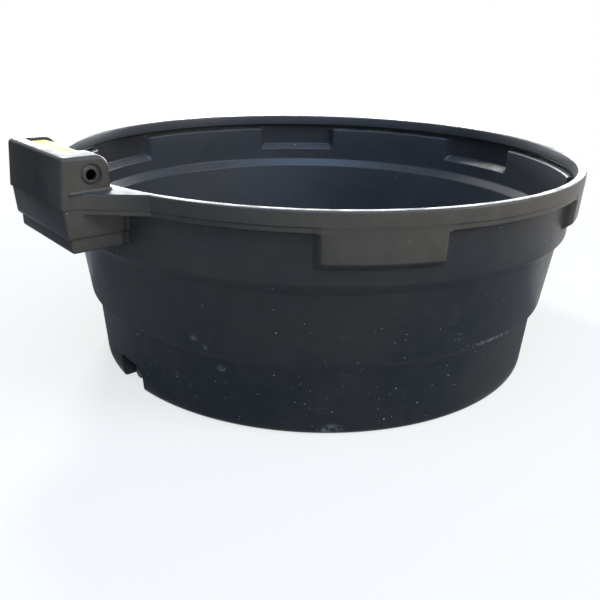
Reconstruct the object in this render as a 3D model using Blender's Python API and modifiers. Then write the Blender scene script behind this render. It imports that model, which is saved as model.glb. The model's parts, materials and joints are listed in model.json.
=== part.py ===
"""Round cattle trough with a moulded-on valve box, in metres, +Z up.

The origin is the centre of the base. The valve box is on -X, and the trough stands on z = 0.
"""
import math

import bmesh
import bpy
from mathutils import Matrix, Vector

# Tub and rim
SKIN = 0.008
RIM_RADIUS = 0.900
RIM_HEIGHT = 0.695
LIP_WIDTH = 0.0265
LIP_ROUND = 0.007
FLANGE_DROP = 0.036
FLANGE_LEAN = 0.0065
SKIRT_UPPER = 0.040
SKIRT_LOWER = 0.017
SKIRT_SETBACK = 0.004
UNDERSIDE_FALL = 0.008
TIER_1_INSET = 0.030
TIER_2_INSET = 0.053
TIER_2_FOOT_INSET = 0.0775
TIER_3_INSET = 0.100
TIER_3_FOOT_INSET = 0.114
STEP_1_DROP = 0.204
STEP_2_HEIGHT = 0.246
STEP_DROP = 0.029
TIER_ROUND = 0.012

# Rim pads, and the recess behind each
PAD_AZIMUTHS = [238.0, 297.5, 357.0, 56.5, 116.0]
PAD_HALF_WIDTH = 0.169
PAD_FLARE = 0.014
PAD_DROP = 0.135
PAD_SLOPE = 0.022
PAD_DRAFT = 0.0035
RECESS_HALF_WIDTH = 0.163
RECESS_DROP = 0.126
RECESS_SLOPE = 0.022
PAD_ROOT = 0.0135

# Valve box
HOOD_INSET = 0.010
HOOD_DEPTH = 0.126
HOOD_FLARE = 0.012
HOOD_HALF_WIDTH = 0.1885
HOOD_RISE = 0.091
HOOD_DROP = 0.038
HOOD_ROUND = 0.036
EDGE_ROUND = 0.010
BODY_SETBACK = 0.004
BODY_DRAFT = 0.006
BODY_SIDE_SETBACK = 0.0025
BODY_DROP = 0.123
TIER_SETBACK = 0.020
TIER_SIDE_SETBACK = 0.0095
TIER_DROP = 0.160
FAIRING_REACH = 0.100
FAIRING_START = 0.306
FAIRING_MARGIN = 0.0065

# Lid, and its hinge on the tub side of the hood
LID_NEAR_MARGIN = 0.0835
LID_FAR_MARGIN = 0.0295
LID_OUTER_MARGIN = 0.037
LID_SINK = 0.008
LID_THICKNESS = 0.004
LID_LEDGE = 0.010
LID_CLEARANCE = 0.002
GROOVE_WIDTH = 0.009
GROOVE_DEPTH = 0.0018
KNUCKLE_RADIUS = 0.0065
KNUCKLE_DROP = 0.048
KNUCKLE_SWING = 0.005
HINGE_PIN_RADIUS = 0.0025
CLIP_RADIUS = 0.0055
CLIP_THICKNESS = 0.0025
PIN_OVERHANG = 0.002

# Inlet boss, moulded on both ends of the hood
INLET_SPACING = 0.052
INLET_DROP = 0.048
INLET_HOLE_RADIUS = 0.0145
BOSS_FOOT_RADIUS = 0.0255
BOSS_TOP_RADIUS = 0.020
BOSS_GROOVE = 0.0035
BOSS_DEPTH = 0.005
BOSS_BACKING = 0.004

# Float valve, on the far boss
TAIL_RADIUS = 0.0132
TAIL_BORE = 0.007
TAIL_OUTSIDE = 0.042
WASHER_RADIUS = 0.0185
WASHER_THICKNESS = 0.002
BACK_NUT_FLATS = 0.036
BACK_NUT_LENGTH = 0.009
COLLAR_RADIUS = 0.021
COLLAR_LENGTH = 0.006
BARREL_RADIUS = 0.017
BARREL_BORE = 0.0113
BARREL_LENGTH = 0.060
SEAT_SHOULDER = 0.006
SEAT_LENGTH = 0.009
SEAT_BASE = 0.004
NOZZLE_RADIUS = 0.0055
NOZZLE_BORE = 0.004
PISTON_RADIUS = 0.0108
PISTON_LENGTH = 0.028
PISTON_WASHER_THICKNESS = 0.004
PISTON_SLOT = 0.009
CAP_RADIUS = 0.019
CAP_LENGTH = 0.013
CAP_END = 0.006
CAP_VENT = 0.003
OUTLET_RADIUS = 0.005

# Float lever, at rest on its drop stop
LEVER_DROP = 0.026
LEVER_SWING = math.radians(17.0)
LEVER_ANGLE = math.radians(45.0)
LEVER_THICKNESS = 0.006
LEVER_HALF_WIDTH = 0.0045
FINGER_HALF_WIDTH = 0.0024
FINGER_TIP_RADIUS = 0.0036
HUB_RADIUS = 0.0068
LEVER_PIN_RADIUS = 0.0025
EAR_THICKNESS = 0.005
EAR_RADIUS = 0.0072
EAR_GAP = 0.0005
SOCKET_START = 0.022
SOCKET_LENGTH = 0.022
SOCKET_RADIUS = 0.0075
ROD_RADIUS = 0.004
ROD_NUT_FLATS = 0.013
ROD_NUT_LENGTH = 0.006
FLOAT_REACH = 0.170
FLOAT_RADIUS = 0.042
FLOAT_NECK_RADIUS = 0.010
FLOAT_NECK = 0.006
FLOAT_BORE_DEPTH = 0.022

# Drain notch, bush and bung
NOTCH_HALF_WIDTH = 0.067
NOTCH_HEIGHT = 0.088
NOTCH_DEPTH = 0.044
NOTCH_ROUND = 0.012
DRAIN_HEIGHT = 0.038
BUSH_RADIUS = 0.021
BUSH_BORE = 0.0155
BUSH_FLANGE_RADIUS = 0.029
BUSH_FLANGE = 0.004
BUSH_LENGTH = 0.022
GASKET_RADIUS = 0.026
GASKET_THICKNESS = 0.002
DRAIN_NUT_FLATS = 0.050
DRAIN_NUT_LENGTH = 0.009
PLUG_HEAD_RADIUS = 0.024
PLUG_HEAD = 0.018
PLUG_ROUND = 0.009
PLUG_LENGTH = 0.022
RING_WIDTH = 0.003
RING_DEPTH = 0.003
RING_SETBACK = 0.008

# Fits and fineness
GAP = 0.0003
CUT_MARGIN = 0.050
FLUSH = 0.0005
MERGE = 0.0001
TUB_STEPS = 60
ROUND_STEPS = 24
CORNER_STEPS = 2
HOOD_STEPS = 5
EDGE_STEPS = 2

# Places that follow from the sizes above
LIP_RADIUS = RIM_RADIUS - LIP_WIDTH
CREASE = RIM_HEIGHT - SKIRT_UPPER
SKIRT_FOOT = CREASE - SKIRT_LOWER
WALL_RADIUS = RIM_RADIUS - TIER_1_INSET
STEP_1_HEIGHT = RIM_HEIGHT - STEP_1_DROP
HOOD_FACE = -(RIM_RADIUS - HOOD_INSET)
HOOD_TOP = RIM_HEIGHT + HOOD_RISE
HOOD_FOOT = RIM_HEIGHT - HOOD_DROP
BODY_FOOT = RIM_HEIGHT - BODY_DROP
TIER_FOOT = RIM_HEIGHT - TIER_DROP
HOOD_OUTER = HOOD_FACE - HOOD_DEPTH
HOOD_OUTER_FOOT = HOOD_OUTER - HOOD_FLARE
INLET_X = HOOD_FACE - INLET_SPACING
INLET_Z = HOOD_TOP - INLET_DROP
KNUCKLE_X = HOOD_FACE - LID_SINK - KNUCKLE_RADIUS
KNUCKLE_Z = HOOD_TOP - KNUCKLE_DROP
LID_DEPTH = LID_SINK + LID_THICKNESS + GAP
LID_OUTER = HOOD_OUTER + LID_OUTER_MARGIN
LID_LOW_Y = LID_NEAR_MARGIN - HOOD_HALF_WIDTH
LID_HIGH_Y = HOOD_HALF_WIDTH - LID_FAR_MARGIN
WALL_INSIDE = HOOD_HALF_WIDTH - SKIN - BOSS_BACKING
COLLAR_TOP = WALL_INSIDE - WASHER_THICKNESS - 2 * GAP
BARREL_TOP = COLLAR_TOP - COLLAR_LENGTH
BARREL_END = BARREL_TOP - BARREL_LENGTH
SEAT_TOP = BARREL_TOP - SEAT_SHOULDER
SEAT_TIP = SEAT_TOP - GAP - SEAT_LENGTH
PISTON_TRAVEL = LEVER_DROP * LEVER_SWING
PISTON_WASHER_TOP = SEAT_TIP - GAP - PISTON_TRAVEL
PISTON_TOP = PISTON_WASHER_TOP - PISTON_WASHER_THICKNESS - GAP
LEVER_Y = PISTON_TOP - PISTON_LENGTH / 2 - GAP
LEVER_Z = INLET_Z - LEVER_DROP
FINGER_TILT = LEVER_SWING / 2
NOTCH_BACK = -(RIM_RADIUS - TIER_3_FOOT_INSET - NOTCH_DEPTH)

# Frames that turn a flat outline: each maps its two directions, then the way it is extruded
PLAN = Matrix.Identity(4)
ALONG_Y = Matrix(((1, 0, 0, 0), (0, 0, -1, 0), (0, 1, 0, 0), (0, 0, 0, 1)))
ALONG_X = Matrix(((0, 0, 1, 0), (1, 0, 0, 0), (0, 1, 0, 0), (0, 0, 0, 1)))

for old in list(bpy.data.objects):
    bpy.data.objects.remove(old)

trough = bpy.data.collections.new("cattle_trough")
cutters = bpy.data.collections.new("cutters")
bpy.context.scene.collection.children.link(trough)
bpy.context.scene.collection.children.link(cutters)


def material(name, colour, roughness, metallic=0.0):
    made = bpy.data.materials.new(name)
    made.use_nodes = True
    shader = made.node_tree.nodes["Principled BSDF"]
    shader.inputs["Base Color"].default_value = (*colour, 1.0)
    shader.inputs["Roughness"].default_value = roughness
    shader.inputs["Metallic"].default_value = metallic
    return made


BLACK_PLASTIC = material("black_polyethylene", (0.035, 0.036, 0.037), 0.45)
AMBER_PLASTIC = material("amber_lid_plastic", (0.85, 0.42, 0.04), 0.30)
BRASS = material("brass", (0.60, 0.43, 0.16), 0.32, 1.0)
STEEL = material("stainless_steel", (0.60, 0.60, 0.60), 0.30, 1.0)
RUBBER = material("seal_rubber", (0.02, 0.02, 0.02), 0.70)
NYLON = material("grey_nylon", (0.30, 0.31, 0.32), 0.45)
FLOAT_PLASTIC = material("float_plastic", (0.55, 0.10, 0.03), 0.40)


def rounded(corners, closed=False):
    """Round a line of (x, z, radius) corners, each by its own radius, and give plain points."""
    line = []
    last = len(corners) - 1
    for i, (x, z, radius) in enumerate(corners):
        here = Vector((x, z))
        if radius == 0 or (not closed and i in (0, last)):
            line.append(here)
            continue
        back = Vector(corners[i - 1][:2]) - here
        ahead = Vector(corners[(i + 1) % len(corners)][:2]) - here
        half = back.angle(ahead) / 2
        reach = min(radius / math.tan(half), 0.45 * back.length, 0.45 * ahead.length)
        back.normalize()
        ahead.normalize()
        centre = here + (back + ahead).normalized() * reach / math.cos(half)
        start = here + back * reach - centre
        end = here + ahead * reach - centre
        for k in range(CORNER_STEPS + 1):
            line.append(centre + start.slerp(end, k / CORNER_STEPS).normalized() * start.length)
    return line


def offset(corners, distance):
    """Move a line of (x, z, radius) corners sideways, to the right of its direction."""
    points = [Vector(corner[:2]) for corner in corners]
    sides = []
    for start, end in zip(points, points[1:]):
        way = (end - start).normalized()
        sides.append(Vector((way.y, -way.x)))
    sides = [sides[0], *sides, sides[-1]]
    moved = []
    for corner, point, before, after in zip(corners, points, sides, sides[1:]):
        place = point + (before + after) * distance / (1 + before.dot(after))
        moved.append((place.x, place.y, corner[2]))
    return moved


def arc(centre, radius, start, end, steps):
    """Points along an arc, with its angles in degrees."""
    angles = [math.radians(start + (end - start) * k / steps) for k in range(steps + 1)]
    return [Vector((centre[0] + radius * math.cos(a), centre[1] + radius * math.sin(a))) for a in angles]


def show(obj, finish):
    """Make an object one of the trough's pieces."""
    trough.objects.link(obj)
    obj.data.materials.append(finish)
    obj.data.shade_smooth()
    obj.data.set_sharp_from_angle(angle=math.radians(35))
    return obj


def hide(obj):
    """Make an object a cutter or a block that a piece is joined from."""
    cutters.objects.link(obj)
    obj.hide_render = True
    obj.display_type = "WIRE"
    return obj


def mesh_object(name, mesh_data, place=PLAN):
    obj = bpy.data.objects.new(name, mesh_data)
    obj.matrix_world = place
    return obj


def aimed(origin, direction):
    """A placement whose +Z lies along a direction."""
    return Matrix.Translation(origin) @ Vector(direction).to_track_quat("Z", "Y").to_matrix().to_4x4()


def turned(name, profile, steps=ROUND_STEPS, place=PLAN, closed=False):
    """Turn a profile of (radius, height) points round its own +Z."""
    bm = bmesh.new()
    verts = [bm.verts.new((point[0], 0, point[1])) for point in profile]
    for start, end in zip(verts, verts[1:]):
        bm.edges.new((start, end))
    if closed:
        bm.edges.new((verts[-1], verts[0]))
    data = bpy.data.meshes.new(name)
    bm.to_mesh(data)
    bm.free()
    obj = mesh_object(name, data, place)
    screw = obj.modifiers.new("Turn", "SCREW")
    screw.steps = steps
    screw.render_steps = steps
    screw.use_merge_vertices = True
    screw.merge_threshold = MERGE
    screw.use_smooth_shade = True
    return obj


def ring(name, bore, radius, low, high, place, steps=ROUND_STEPS):
    profile = [(radius, high), (radius, low), (bore, low), (bore, high)]
    return turned(name, profile, steps, place, closed=True)


def prism(name, outlines, low, high, frame=PLAN):
    """Extrude flat outlines between two levels of a frame."""
    curve = bpy.data.curves.new(name, "CURVE")
    curve.dimensions = "2D"
    curve.fill_mode = "BOTH"
    curve.extrude = (high - low) / 2
    for outline in outlines:
        spline = curve.splines.new("POLY")
        spline.points.add(len(outline) - 1)
        for point, place in zip(spline.points, outline):
            point.co = (place[0], place[1], 0, 1)
        spline.use_cyclic_u = True
    flat = bpy.data.objects.new(name + "_outline", curve)
    flat.matrix_world = frame @ Matrix.Translation((0, 0, (low + high) / 2))
    cutters.objects.link(flat)
    depsgraph = bpy.context.evaluated_depsgraph_get()
    data = bpy.data.meshes.new_from_object(flat.evaluated_get(depsgraph))
    bm = bmesh.new()
    bm.from_mesh(data)
    bmesh.ops.remove_doubles(bm, verts=bm.verts, dist=MERGE / 10)
    bm.to_mesh(data)
    bm.free()
    obj = mesh_object(name, data, flat.matrix_world.copy())
    bpy.data.objects.remove(flat)
    return obj


def cylinder(name, radius, low, high, place, steps=ROUND_STEPS):
    bm = bmesh.new()
    middle = Matrix.Translation((0, 0, (low + high) / 2))
    bmesh.ops.create_cone(bm, cap_ends=True, segments=steps, radius1=radius, radius2=radius,
                          depth=high - low, matrix=middle)
    data = bpy.data.meshes.new(name)
    bm.to_mesh(data)
    bm.free()
    return mesh_object(name, data, place)


def block(name, foot, top, low, high, softened=()):
    """A block between two levels, each with its (low x, high x, half width).

    softened holds (test, radius, steps), and rounds every edge whose two ends pass the test.
    """
    bm = bmesh.new()
    bmesh.ops.create_cube(bm, size=2)
    for vert in bm.verts:
        x_low, x_high, half_width = top if vert.co.z > 0 else foot
        vert.co.x = x_high if vert.co.x > 0 else x_low
        vert.co.y *= half_width
        vert.co.z = high if vert.co.z > 0 else low
    for test, radius, steps in softened:
        edges = [edge for edge in bm.edges if test(edge.verts[0].co, edge.verts[1].co)]
        bmesh.ops.bevel(bm, geom=edges, offset=radius, segments=steps, profile=0.5, affect="EDGES",
                        clamp_overlap=True)
    data = bpy.data.meshes.new(name)
    bm.to_mesh(data)
    bm.free()
    return mesh_object(name, data)


def change(target, tool, operation):
    """Cut, join or intersect with a hidden block."""
    if tool.name not in cutters.objects:
        hide(tool)
    step = target.modifiers.new(tool.name, "BOOLEAN")
    step.operation = operation
    step.object = tool
    step.solver = "EXACT"
    return target


def cut(target, *tools):
    for tool in tools:
        change(target, tool, "DIFFERENCE")
    return target


def join(target, *tools):
    for tool in tools:
        change(target, tool, "UNION")
    return target


def weld(target):
    """Close up the points that the cuts leave on top of each other."""
    step = target.modifiers.new("Weld", "WELD")
    step.merge_threshold = MERGE
    return target


def pivot(name, place):
    """An empty on a joint's axis."""
    empty = bpy.data.objects.new(name, None)
    empty.location = place
    trough.objects.link(empty)
    return empty


def carry(empty, *pieces):
    """Parent pieces to a joint's empty, where they already are."""
    for piece in pieces:
        piece.parent = empty
        piece.matrix_parent_inverse = Matrix.Translation(-Vector(empty.location))


def hexagon(flats):
    return arc((0, 0), flats / math.sqrt(3), 0, 300, 5)


def nut(name, flats, bore, low, high, place):
    """A hexagon nut whose flats face the local X and its sixfold turns."""
    body = prism(name, [hexagon(flats)], low, high)
    body.matrix_world = place @ body.matrix_world
    hole = hide(cylinder(name + "_hole", bore, low - CUT_MARGIN, high + CUT_MARGIN, place))
    return cut(body, hole)


# Tub
def outer_line():
    """The outside of the tub from the lip down to the middle of the base."""
    return [
        (LIP_RADIUS, RIM_HEIGHT, 0),
        (RIM_RADIUS, RIM_HEIGHT, LIP_ROUND),
        (RIM_RADIUS, CREASE, 0),
        (RIM_RADIUS - SKIRT_SETBACK, CREASE - SKIRT_SETBACK, 0),
        (RIM_RADIUS - SKIRT_SETBACK, SKIRT_FOOT, SKIRT_SETBACK),
        (WALL_RADIUS, SKIRT_FOOT - UNDERSIDE_FALL, TIER_ROUND / 2),
        (WALL_RADIUS, STEP_1_HEIGHT, TIER_ROUND),
        (RIM_RADIUS - TIER_2_INSET, STEP_1_HEIGHT - STEP_DROP, TIER_ROUND),
        (RIM_RADIUS - TIER_2_FOOT_INSET, STEP_2_HEIGHT, TIER_ROUND),
        (RIM_RADIUS - TIER_3_INSET, STEP_2_HEIGHT - STEP_DROP, TIER_ROUND),
        (RIM_RADIUS - TIER_3_FOOT_INSET, 0, TIER_ROUND),
        (0, 0, 0),
    ]


def tub_outside():
    return turned("trough_shell", [Vector((0, RIM_HEIGHT)), *rounded(outer_line())[1:]], TUB_STEPS)


def tub_inside():
    """The water space and the channel in the rim, round the hanging flange."""
    top = RIM_HEIGHT + CUT_MARGIN
    half = SKIN / 2
    bead = (LIP_RADIUS - FLANGE_LEAN + half, RIM_HEIGHT - FLANGE_DROP)
    flare = Vector((LIP_RADIUS + LIP_ROUND, RIM_HEIGHT + FLUSH))
    profile = [Vector((0, top)), Vector((flare.x, top)), flare]
    profile += arc((LIP_RADIUS + LIP_ROUND, RIM_HEIGHT - LIP_ROUND), LIP_ROUND, 110, 180, CORNER_STEPS)
    profile += arc(bead, half, 180, 360, CORNER_STEPS + 1)
    profile += [Vector((LIP_RADIUS + SKIN, RIM_HEIGHT - SKIN))]
    profile += rounded(offset(outer_line(), SKIN))[1:]
    return turned("tub_inside", profile, TUB_STEPS)


def sectors(name, half_width, flare, at_radius, low, high):
    """Five wedges round the rim that grow wider by flare towards the wall."""
    reach = at_radius - WALL_RADIUS
    near = WALL_RADIUS - CUT_MARGIN
    far = RIM_RADIUS + CUT_MARGIN
    half_near = half_width + flare * (at_radius - near) / reach
    half_far = half_width + flare * (at_radius - far) / reach
    outlines = []
    for azimuth in PAD_AZIMUTHS:
        turn = Matrix.Rotation(math.radians(azimuth), 2)
        corners = [(near, -half_near), (far, -half_far), (far, half_far), (near, half_near)]
        outlines.append([turn @ Vector(corner) for corner in corners])
    return prism(name, outlines, low, high)


def rim_ring(name, face, draft, top, foot, slope, corner):
    """A ring under the rim: an upright face, and a floor that falls inwards by slope."""
    inner = WALL_RADIUS - PAD_ROOT
    foot_radius = face - draft
    fall = slope * (foot_radius - inner) / TIER_1_INSET
    corners = [(face, top, 0), (foot_radius, foot, corner), (inner, foot - fall, 0), (inner, top, 0)]
    return turned(name, rounded(corners, closed=True), TUB_STEPS, closed=True)


def rim_pads():
    pads = rim_ring("rim_pads", RIM_RADIUS - FLUSH, PAD_DRAFT, CREASE + SKIRT_LOWER,
                    RIM_HEIGHT - PAD_DROP, PAD_SLOPE, TIER_ROUND / 2)
    wedges = sectors("pad_sectors", PAD_HALF_WIDTH, PAD_FLARE, RIM_RADIUS,
                     RIM_HEIGHT - PAD_DROP - CUT_MARGIN, RIM_HEIGHT)
    return change(hide(pads), wedges, "INTERSECT")


def rim_recesses():
    """The pockets inside the pads, open to the tub under the flange."""
    back = RIM_RADIUS - SKIN - FLUSH
    top = RIM_HEIGHT - FLANGE_DROP - SKIN
    pockets = rim_ring("rim_recesses", back, 0, top, RIM_HEIGHT - RECESS_DROP, RECESS_SLOPE,
                       TIER_ROUND / 2)
    wedges = sectors("recess_sectors", RECESS_HALF_WIDTH, PAD_FLARE, back,
                     RIM_HEIGHT - RECESS_DROP - CUT_MARGIN, RIM_HEIGHT)
    return change(hide(pockets), wedges, "INTERSECT")


# Valve box
def upright(start, end):
    return abs(start.x - end.x) < EDGE_ROUND * 2 and abs(start.y - end.y) < MERGE


def hood_outside():
    def tub_side_top(start, end):
        return min(start.z, end.z) > HOOD_TOP - MERGE and min(start.x, end.x) > HOOD_FACE - MERGE

    def end_or_outer_top(start, end):
        on_end = abs(start.y - end.y) < MERGE and abs(start.y) > HOOD_HALF_WIDTH - MERGE
        outer_top = min(start.z, end.z) > HOOD_TOP - MERGE and max(start.x, end.x) < HOOD_OUTER + MERGE
        above_foot = max(start.z, end.z) > HOOD_FOOT + MERGE
        return (on_end or outer_top) and above_foot

    foot = (HOOD_OUTER_FOOT, HOOD_FACE, HOOD_HALF_WIDTH)
    top = (HOOD_OUTER, HOOD_FACE, HOOD_HALF_WIDTH)
    softened = [(tub_side_top, HOOD_ROUND, HOOD_STEPS), (end_or_outer_top, EDGE_ROUND, EDGE_STEPS)]
    return block("hood_outside", foot, top, HOOD_FOOT, HOOD_TOP, softened)


def hood_inside():
    def tub_side_top(start, end):
        high = HOOD_TOP - SKIN - MERGE
        return min(start.z, end.z) > high and min(start.x, end.x) > HOOD_FACE - SKIN - MERGE

    half_width = HOOD_HALF_WIDTH - SKIN
    foot = (HOOD_OUTER_FOOT + SKIN + BODY_SETBACK, HOOD_FACE - SKIN, half_width)
    top = (HOOD_OUTER + SKIN, HOOD_FACE - SKIN, half_width)
    softened = [(tub_side_top, HOOD_ROUND - SKIN, HOOD_STEPS)]
    inside = block("hood_inside", foot, top, SKIRT_FOOT + SKIN / 2, HOOD_TOP - SKIN, softened)
    cut(hide(inside), lid_recess("lid_recess_back", SKIN), hinge_pocket("hinge_pocket_back", SKIN))
    for side in (-1, 1):
        place = aimed((INLET_X, side * HOOD_HALF_WIDTH, INLET_Z), (0, -side, 0))
        name = "near_boss_backing" if side < 0 else "far_boss_backing"
        radius = BOSS_FOOT_RADIUS + BOSS_GROOVE + SKIN
        cut(inside, cylinder(name, radius, 0, SKIN + BOSS_BACKING, place))
    return inside


def lower_box(name, foot, top, low, high, round_edges):
    def outer_edges(start, end):
        outside = max(start.x, end.x) < -RIM_RADIUS
        return outside and (upright(start, end) or max(start.z, end.z) < low + MERGE)

    softened = [(outer_edges, EDGE_ROUND, EDGE_STEPS)] if round_edges else ()
    return block(name, foot, top, low, high, softened)


def box_below_hood(skin):
    """The tapered body and the narrower bottom tier, or with a skin the space inside them."""
    inner = -(WALL_RADIUS - CUT_MARGIN - skin)
    kind = "inside" if skin else "outside"
    body_top = HOOD_OUTER_FOOT + BODY_SETBACK + skin
    body_foot = body_top + BODY_DRAFT
    body_half = HOOD_HALF_WIDTH - BODY_SIDE_SETBACK - skin
    tier_outer = HOOD_OUTER_FOOT + TIER_SETBACK + skin
    tier_half = HOOD_HALF_WIDTH - TIER_SIDE_SETBACK - skin
    body_high = SKIRT_FOOT + SKIN + SKIN / 2 if skin else HOOD_FOOT + SKIN
    body = lower_box("box_body_" + kind, (body_foot, inner, body_half), (body_top, inner, body_half),
                     BODY_FOOT + skin, body_high, not skin)
    tier = lower_box("box_tier_" + kind, (tier_outer, inner, tier_half), (tier_outer, inner, tier_half),
                     TIER_FOOT + skin, BODY_FOOT + 2 * SKIN, not skin)
    return body, tier


def fairing_line(setback):
    """The straight run of the rim's deck from each side in to the hood."""
    start_x = -math.sqrt(RIM_RADIUS ** 2 - FAIRING_START ** 2)
    end_x = -(RIM_RADIUS + FAIRING_REACH)
    end_y = HOOD_HALF_WIDTH + FAIRING_MARGIN
    line = [(start_x, FAIRING_START, 0), (end_x, end_y, 0), (end_x, -end_y, 0), (start_x, -FAIRING_START, 0)]
    return [Vector(corner[:2]) for corner in offset(line, -setback)]


def fairing_outside():
    upper = prism("fairing_upper", [fairing_line(FLUSH)], CREASE, RIM_HEIGHT - FLUSH)
    lower = prism("fairing_lower", [fairing_line(SKIRT_SETBACK)], SKIRT_FOOT, CREASE + SKIN)
    return upper, lower


def fairing_inside():
    line = fairing_line(SKIN)
    radius = LIP_RADIUS + SKIN + SKIRT_SETBACK
    angle = math.degrees(math.atan2(line[0].y, line[0].x))
    back = arc((0, 0), radius, -angle, angle - 360, 2 * HOOD_STEPS)
    return prism("fairing_inside", [[*line, *back]], SKIRT_FOOT + SKIN, RIM_HEIGHT - SKIN - FLUSH)


# Lid recess in the hood, cut deeper by a skin where the space inside must clear it
def lid_recess(name, skin):
    depth = LID_DEPTH + skin
    left = LID_OUTER - skin
    corner_x = HOOD_FACE - HOOD_ROUND
    corner_z = HOOD_TOP - HOOD_ROUND
    line = [Vector((left, HOOD_TOP + CUT_MARGIN)), Vector((left, HOOD_TOP - depth))]
    line += arc((corner_x, corner_z), HOOD_ROUND - depth, 90, 0, HOOD_STEPS)
    line += [
        Vector((HOOD_FACE - depth, KNUCKLE_Z)),
        Vector((HOOD_FACE + CUT_MARGIN, KNUCKLE_Z)),
        Vector((HOOD_FACE + CUT_MARGIN, HOOD_TOP + CUT_MARGIN)),
    ]
    return prism(name, [line], -LID_HIGH_Y - skin, -LID_LOW_Y + skin, ALONG_Y)


def hinge_pocket(name, skin):
    back = KNUCKLE_X - KNUCKLE_RADIUS - LID_CLEARANCE / 2 - skin
    low = KNUCKLE_Z - KNUCKLE_RADIUS - KNUCKLE_SWING - skin
    high = KNUCKLE_Z + KNUCKLE_RADIUS + KNUCKLE_SWING + skin
    front = HOOD_FACE + CUT_MARGIN
    line = [(back, low), (front, low), (front, high), (back, high)]
    return prism(name, [line], -LID_HIGH_Y - skin + FLUSH, -LID_LOW_Y + skin - FLUSH, ALONG_Y)


def hatch_opening():
    left = LID_OUTER + LID_LEDGE
    low = KNUCKLE_Z + KNUCKLE_RADIUS + 2 * KNUCKLE_SWING
    right = HOOD_FACE + CUT_MARGIN
    line = [(left, low), (right, low), (right, HOOD_TOP + CUT_MARGIN), (left, HOOD_TOP + CUT_MARGIN)]
    return prism("hatch_opening", [line], -LID_HIGH_Y + LID_LEDGE, -LID_LOW_Y - LID_LEDGE, ALONG_Y)


def boss_groove(name, side):
    """The ring-shaped groove that leaves a coned boss flush with the end of the hood."""
    place = aimed((INLET_X, side * HOOD_HALF_WIDTH, INLET_Z), (0, side, 0))
    outer = BOSS_FOOT_RADIUS + BOSS_GROOVE
    profile = [(outer, CUT_MARGIN / 4), (outer, -BOSS_DEPTH), (BOSS_FOOT_RADIUS, -BOSS_DEPTH),
               (BOSS_TOP_RADIUS, 0), (BOSS_TOP_RADIUS, CUT_MARGIN / 4)]
    return turned(name, profile, 2 * ROUND_STEPS, place, closed=True)


def inlet_hole(name, side):
    place = aimed((INLET_X, side * HOOD_HALF_WIDTH, INLET_Z), (0, side, 0))
    return cylinder(name, INLET_HOLE_RADIUS, -CUT_MARGIN / 2, CUT_MARGIN / 2, place)


def pin_hole():
    place = aimed((KNUCKLE_X, 0, KNUCKLE_Z), (0, 1, 0))
    low = LID_LOW_Y - SKIN - CUT_MARGIN / 4
    high = LID_HIGH_Y + SKIN + CUT_MARGIN / 8
    return cylinder("hinge_pin_hole", HINGE_PIN_RADIUS + GAP, low, high, place)


# Drain notch
def notch(name, skin):
    def long_top(start, end):
        return min(start.z, end.z) > NOTCH_HEIGHT + skin - MERGE and abs(start.y - end.y) < MERGE

    size = (-RIM_RADIUS, NOTCH_BACK + skin, NOTCH_HALF_WIDTH + skin)
    return block(name, size, size, -CUT_MARGIN, NOTCH_HEIGHT + skin, [(long_top, NOTCH_ROUND, EDGE_STEPS)])


def drain_hole():
    return cylinder("drain_hole", BUSH_RADIUS + GAP, -CUT_MARGIN / 2, CUT_MARGIN / 2,
                    aimed((NOTCH_BACK, 0, DRAIN_HEIGHT), (-1, 0, 0)))


def trough_shell():
    shell = show(tub_outside(), BLACK_PLASTIC)
    join(shell, rim_pads(), *fairing_outside(), *box_below_hood(0), hood_outside())
    cut(shell, notch("drain_notch", 0), lid_recess("lid_recess", 0), hinge_pocket("hinge_pocket", 0))
    cut(shell, boss_groove("near_boss_groove", -1), boss_groove("far_boss_groove", 1))
    water = cut(hide(tub_inside()), notch("drain_notch_back", SKIN))
    cut(shell, water, rim_recesses(), fairing_inside(), *box_below_hood(SKIN), hood_inside())
    cut(shell, hatch_opening(), inlet_hole("near_inlet_hole", -1), inlet_hole("far_inlet_hole", 1))
    return weld(cut(shell, pin_hole(), drain_hole()))


# Lid and hinge
def lid():
    """The cover wraps over the hood's tub-side edge and ends in the hinge knuckle."""
    top = HOOD_TOP - LID_SINK
    left = LID_OUTER + LID_CLEARANCE
    groove = left + GROOVE_WIDTH / 2
    centre = (HOOD_FACE - HOOD_ROUND, HOOD_TOP - HOOD_ROUND)
    outer = HOOD_ROUND - LID_SINK
    line = [
        Vector((left, top - LID_THICKNESS)),
        Vector((left, top)),
        Vector((groove, top)),
        Vector((groove + GROOVE_DEPTH, top - GROOVE_DEPTH)),
        Vector((groove + GROOVE_WIDTH - GROOVE_DEPTH, top - GROOVE_DEPTH)),
        Vector((groove + GROOVE_WIDTH, top)),
    ]
    line += arc(centre, outer, 90, 0, HOOD_STEPS)
    line += arc((KNUCKLE_X, KNUCKLE_Z), KNUCKLE_RADIUS, 0, -200, 3 * HOOD_STEPS)
    inner_x = HOOD_FACE - LID_SINK - LID_THICKNESS
    line += [Vector((inner_x, KNUCKLE_Z + KNUCKLE_RADIUS))]
    line += arc(centre, outer - LID_THICKNESS, 0, 90, HOOD_STEPS)
    hole = arc((KNUCKLE_X, KNUCKLE_Z), HINGE_PIN_RADIUS + GAP, 0, 330, 11)
    cover = prism("service_lid", [line, hole], -LID_HIGH_Y + LID_CLEARANCE, -LID_LOW_Y - LID_CLEARANCE,
                  ALONG_Y)
    return show(cover, AMBER_PLASTIC)


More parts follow.
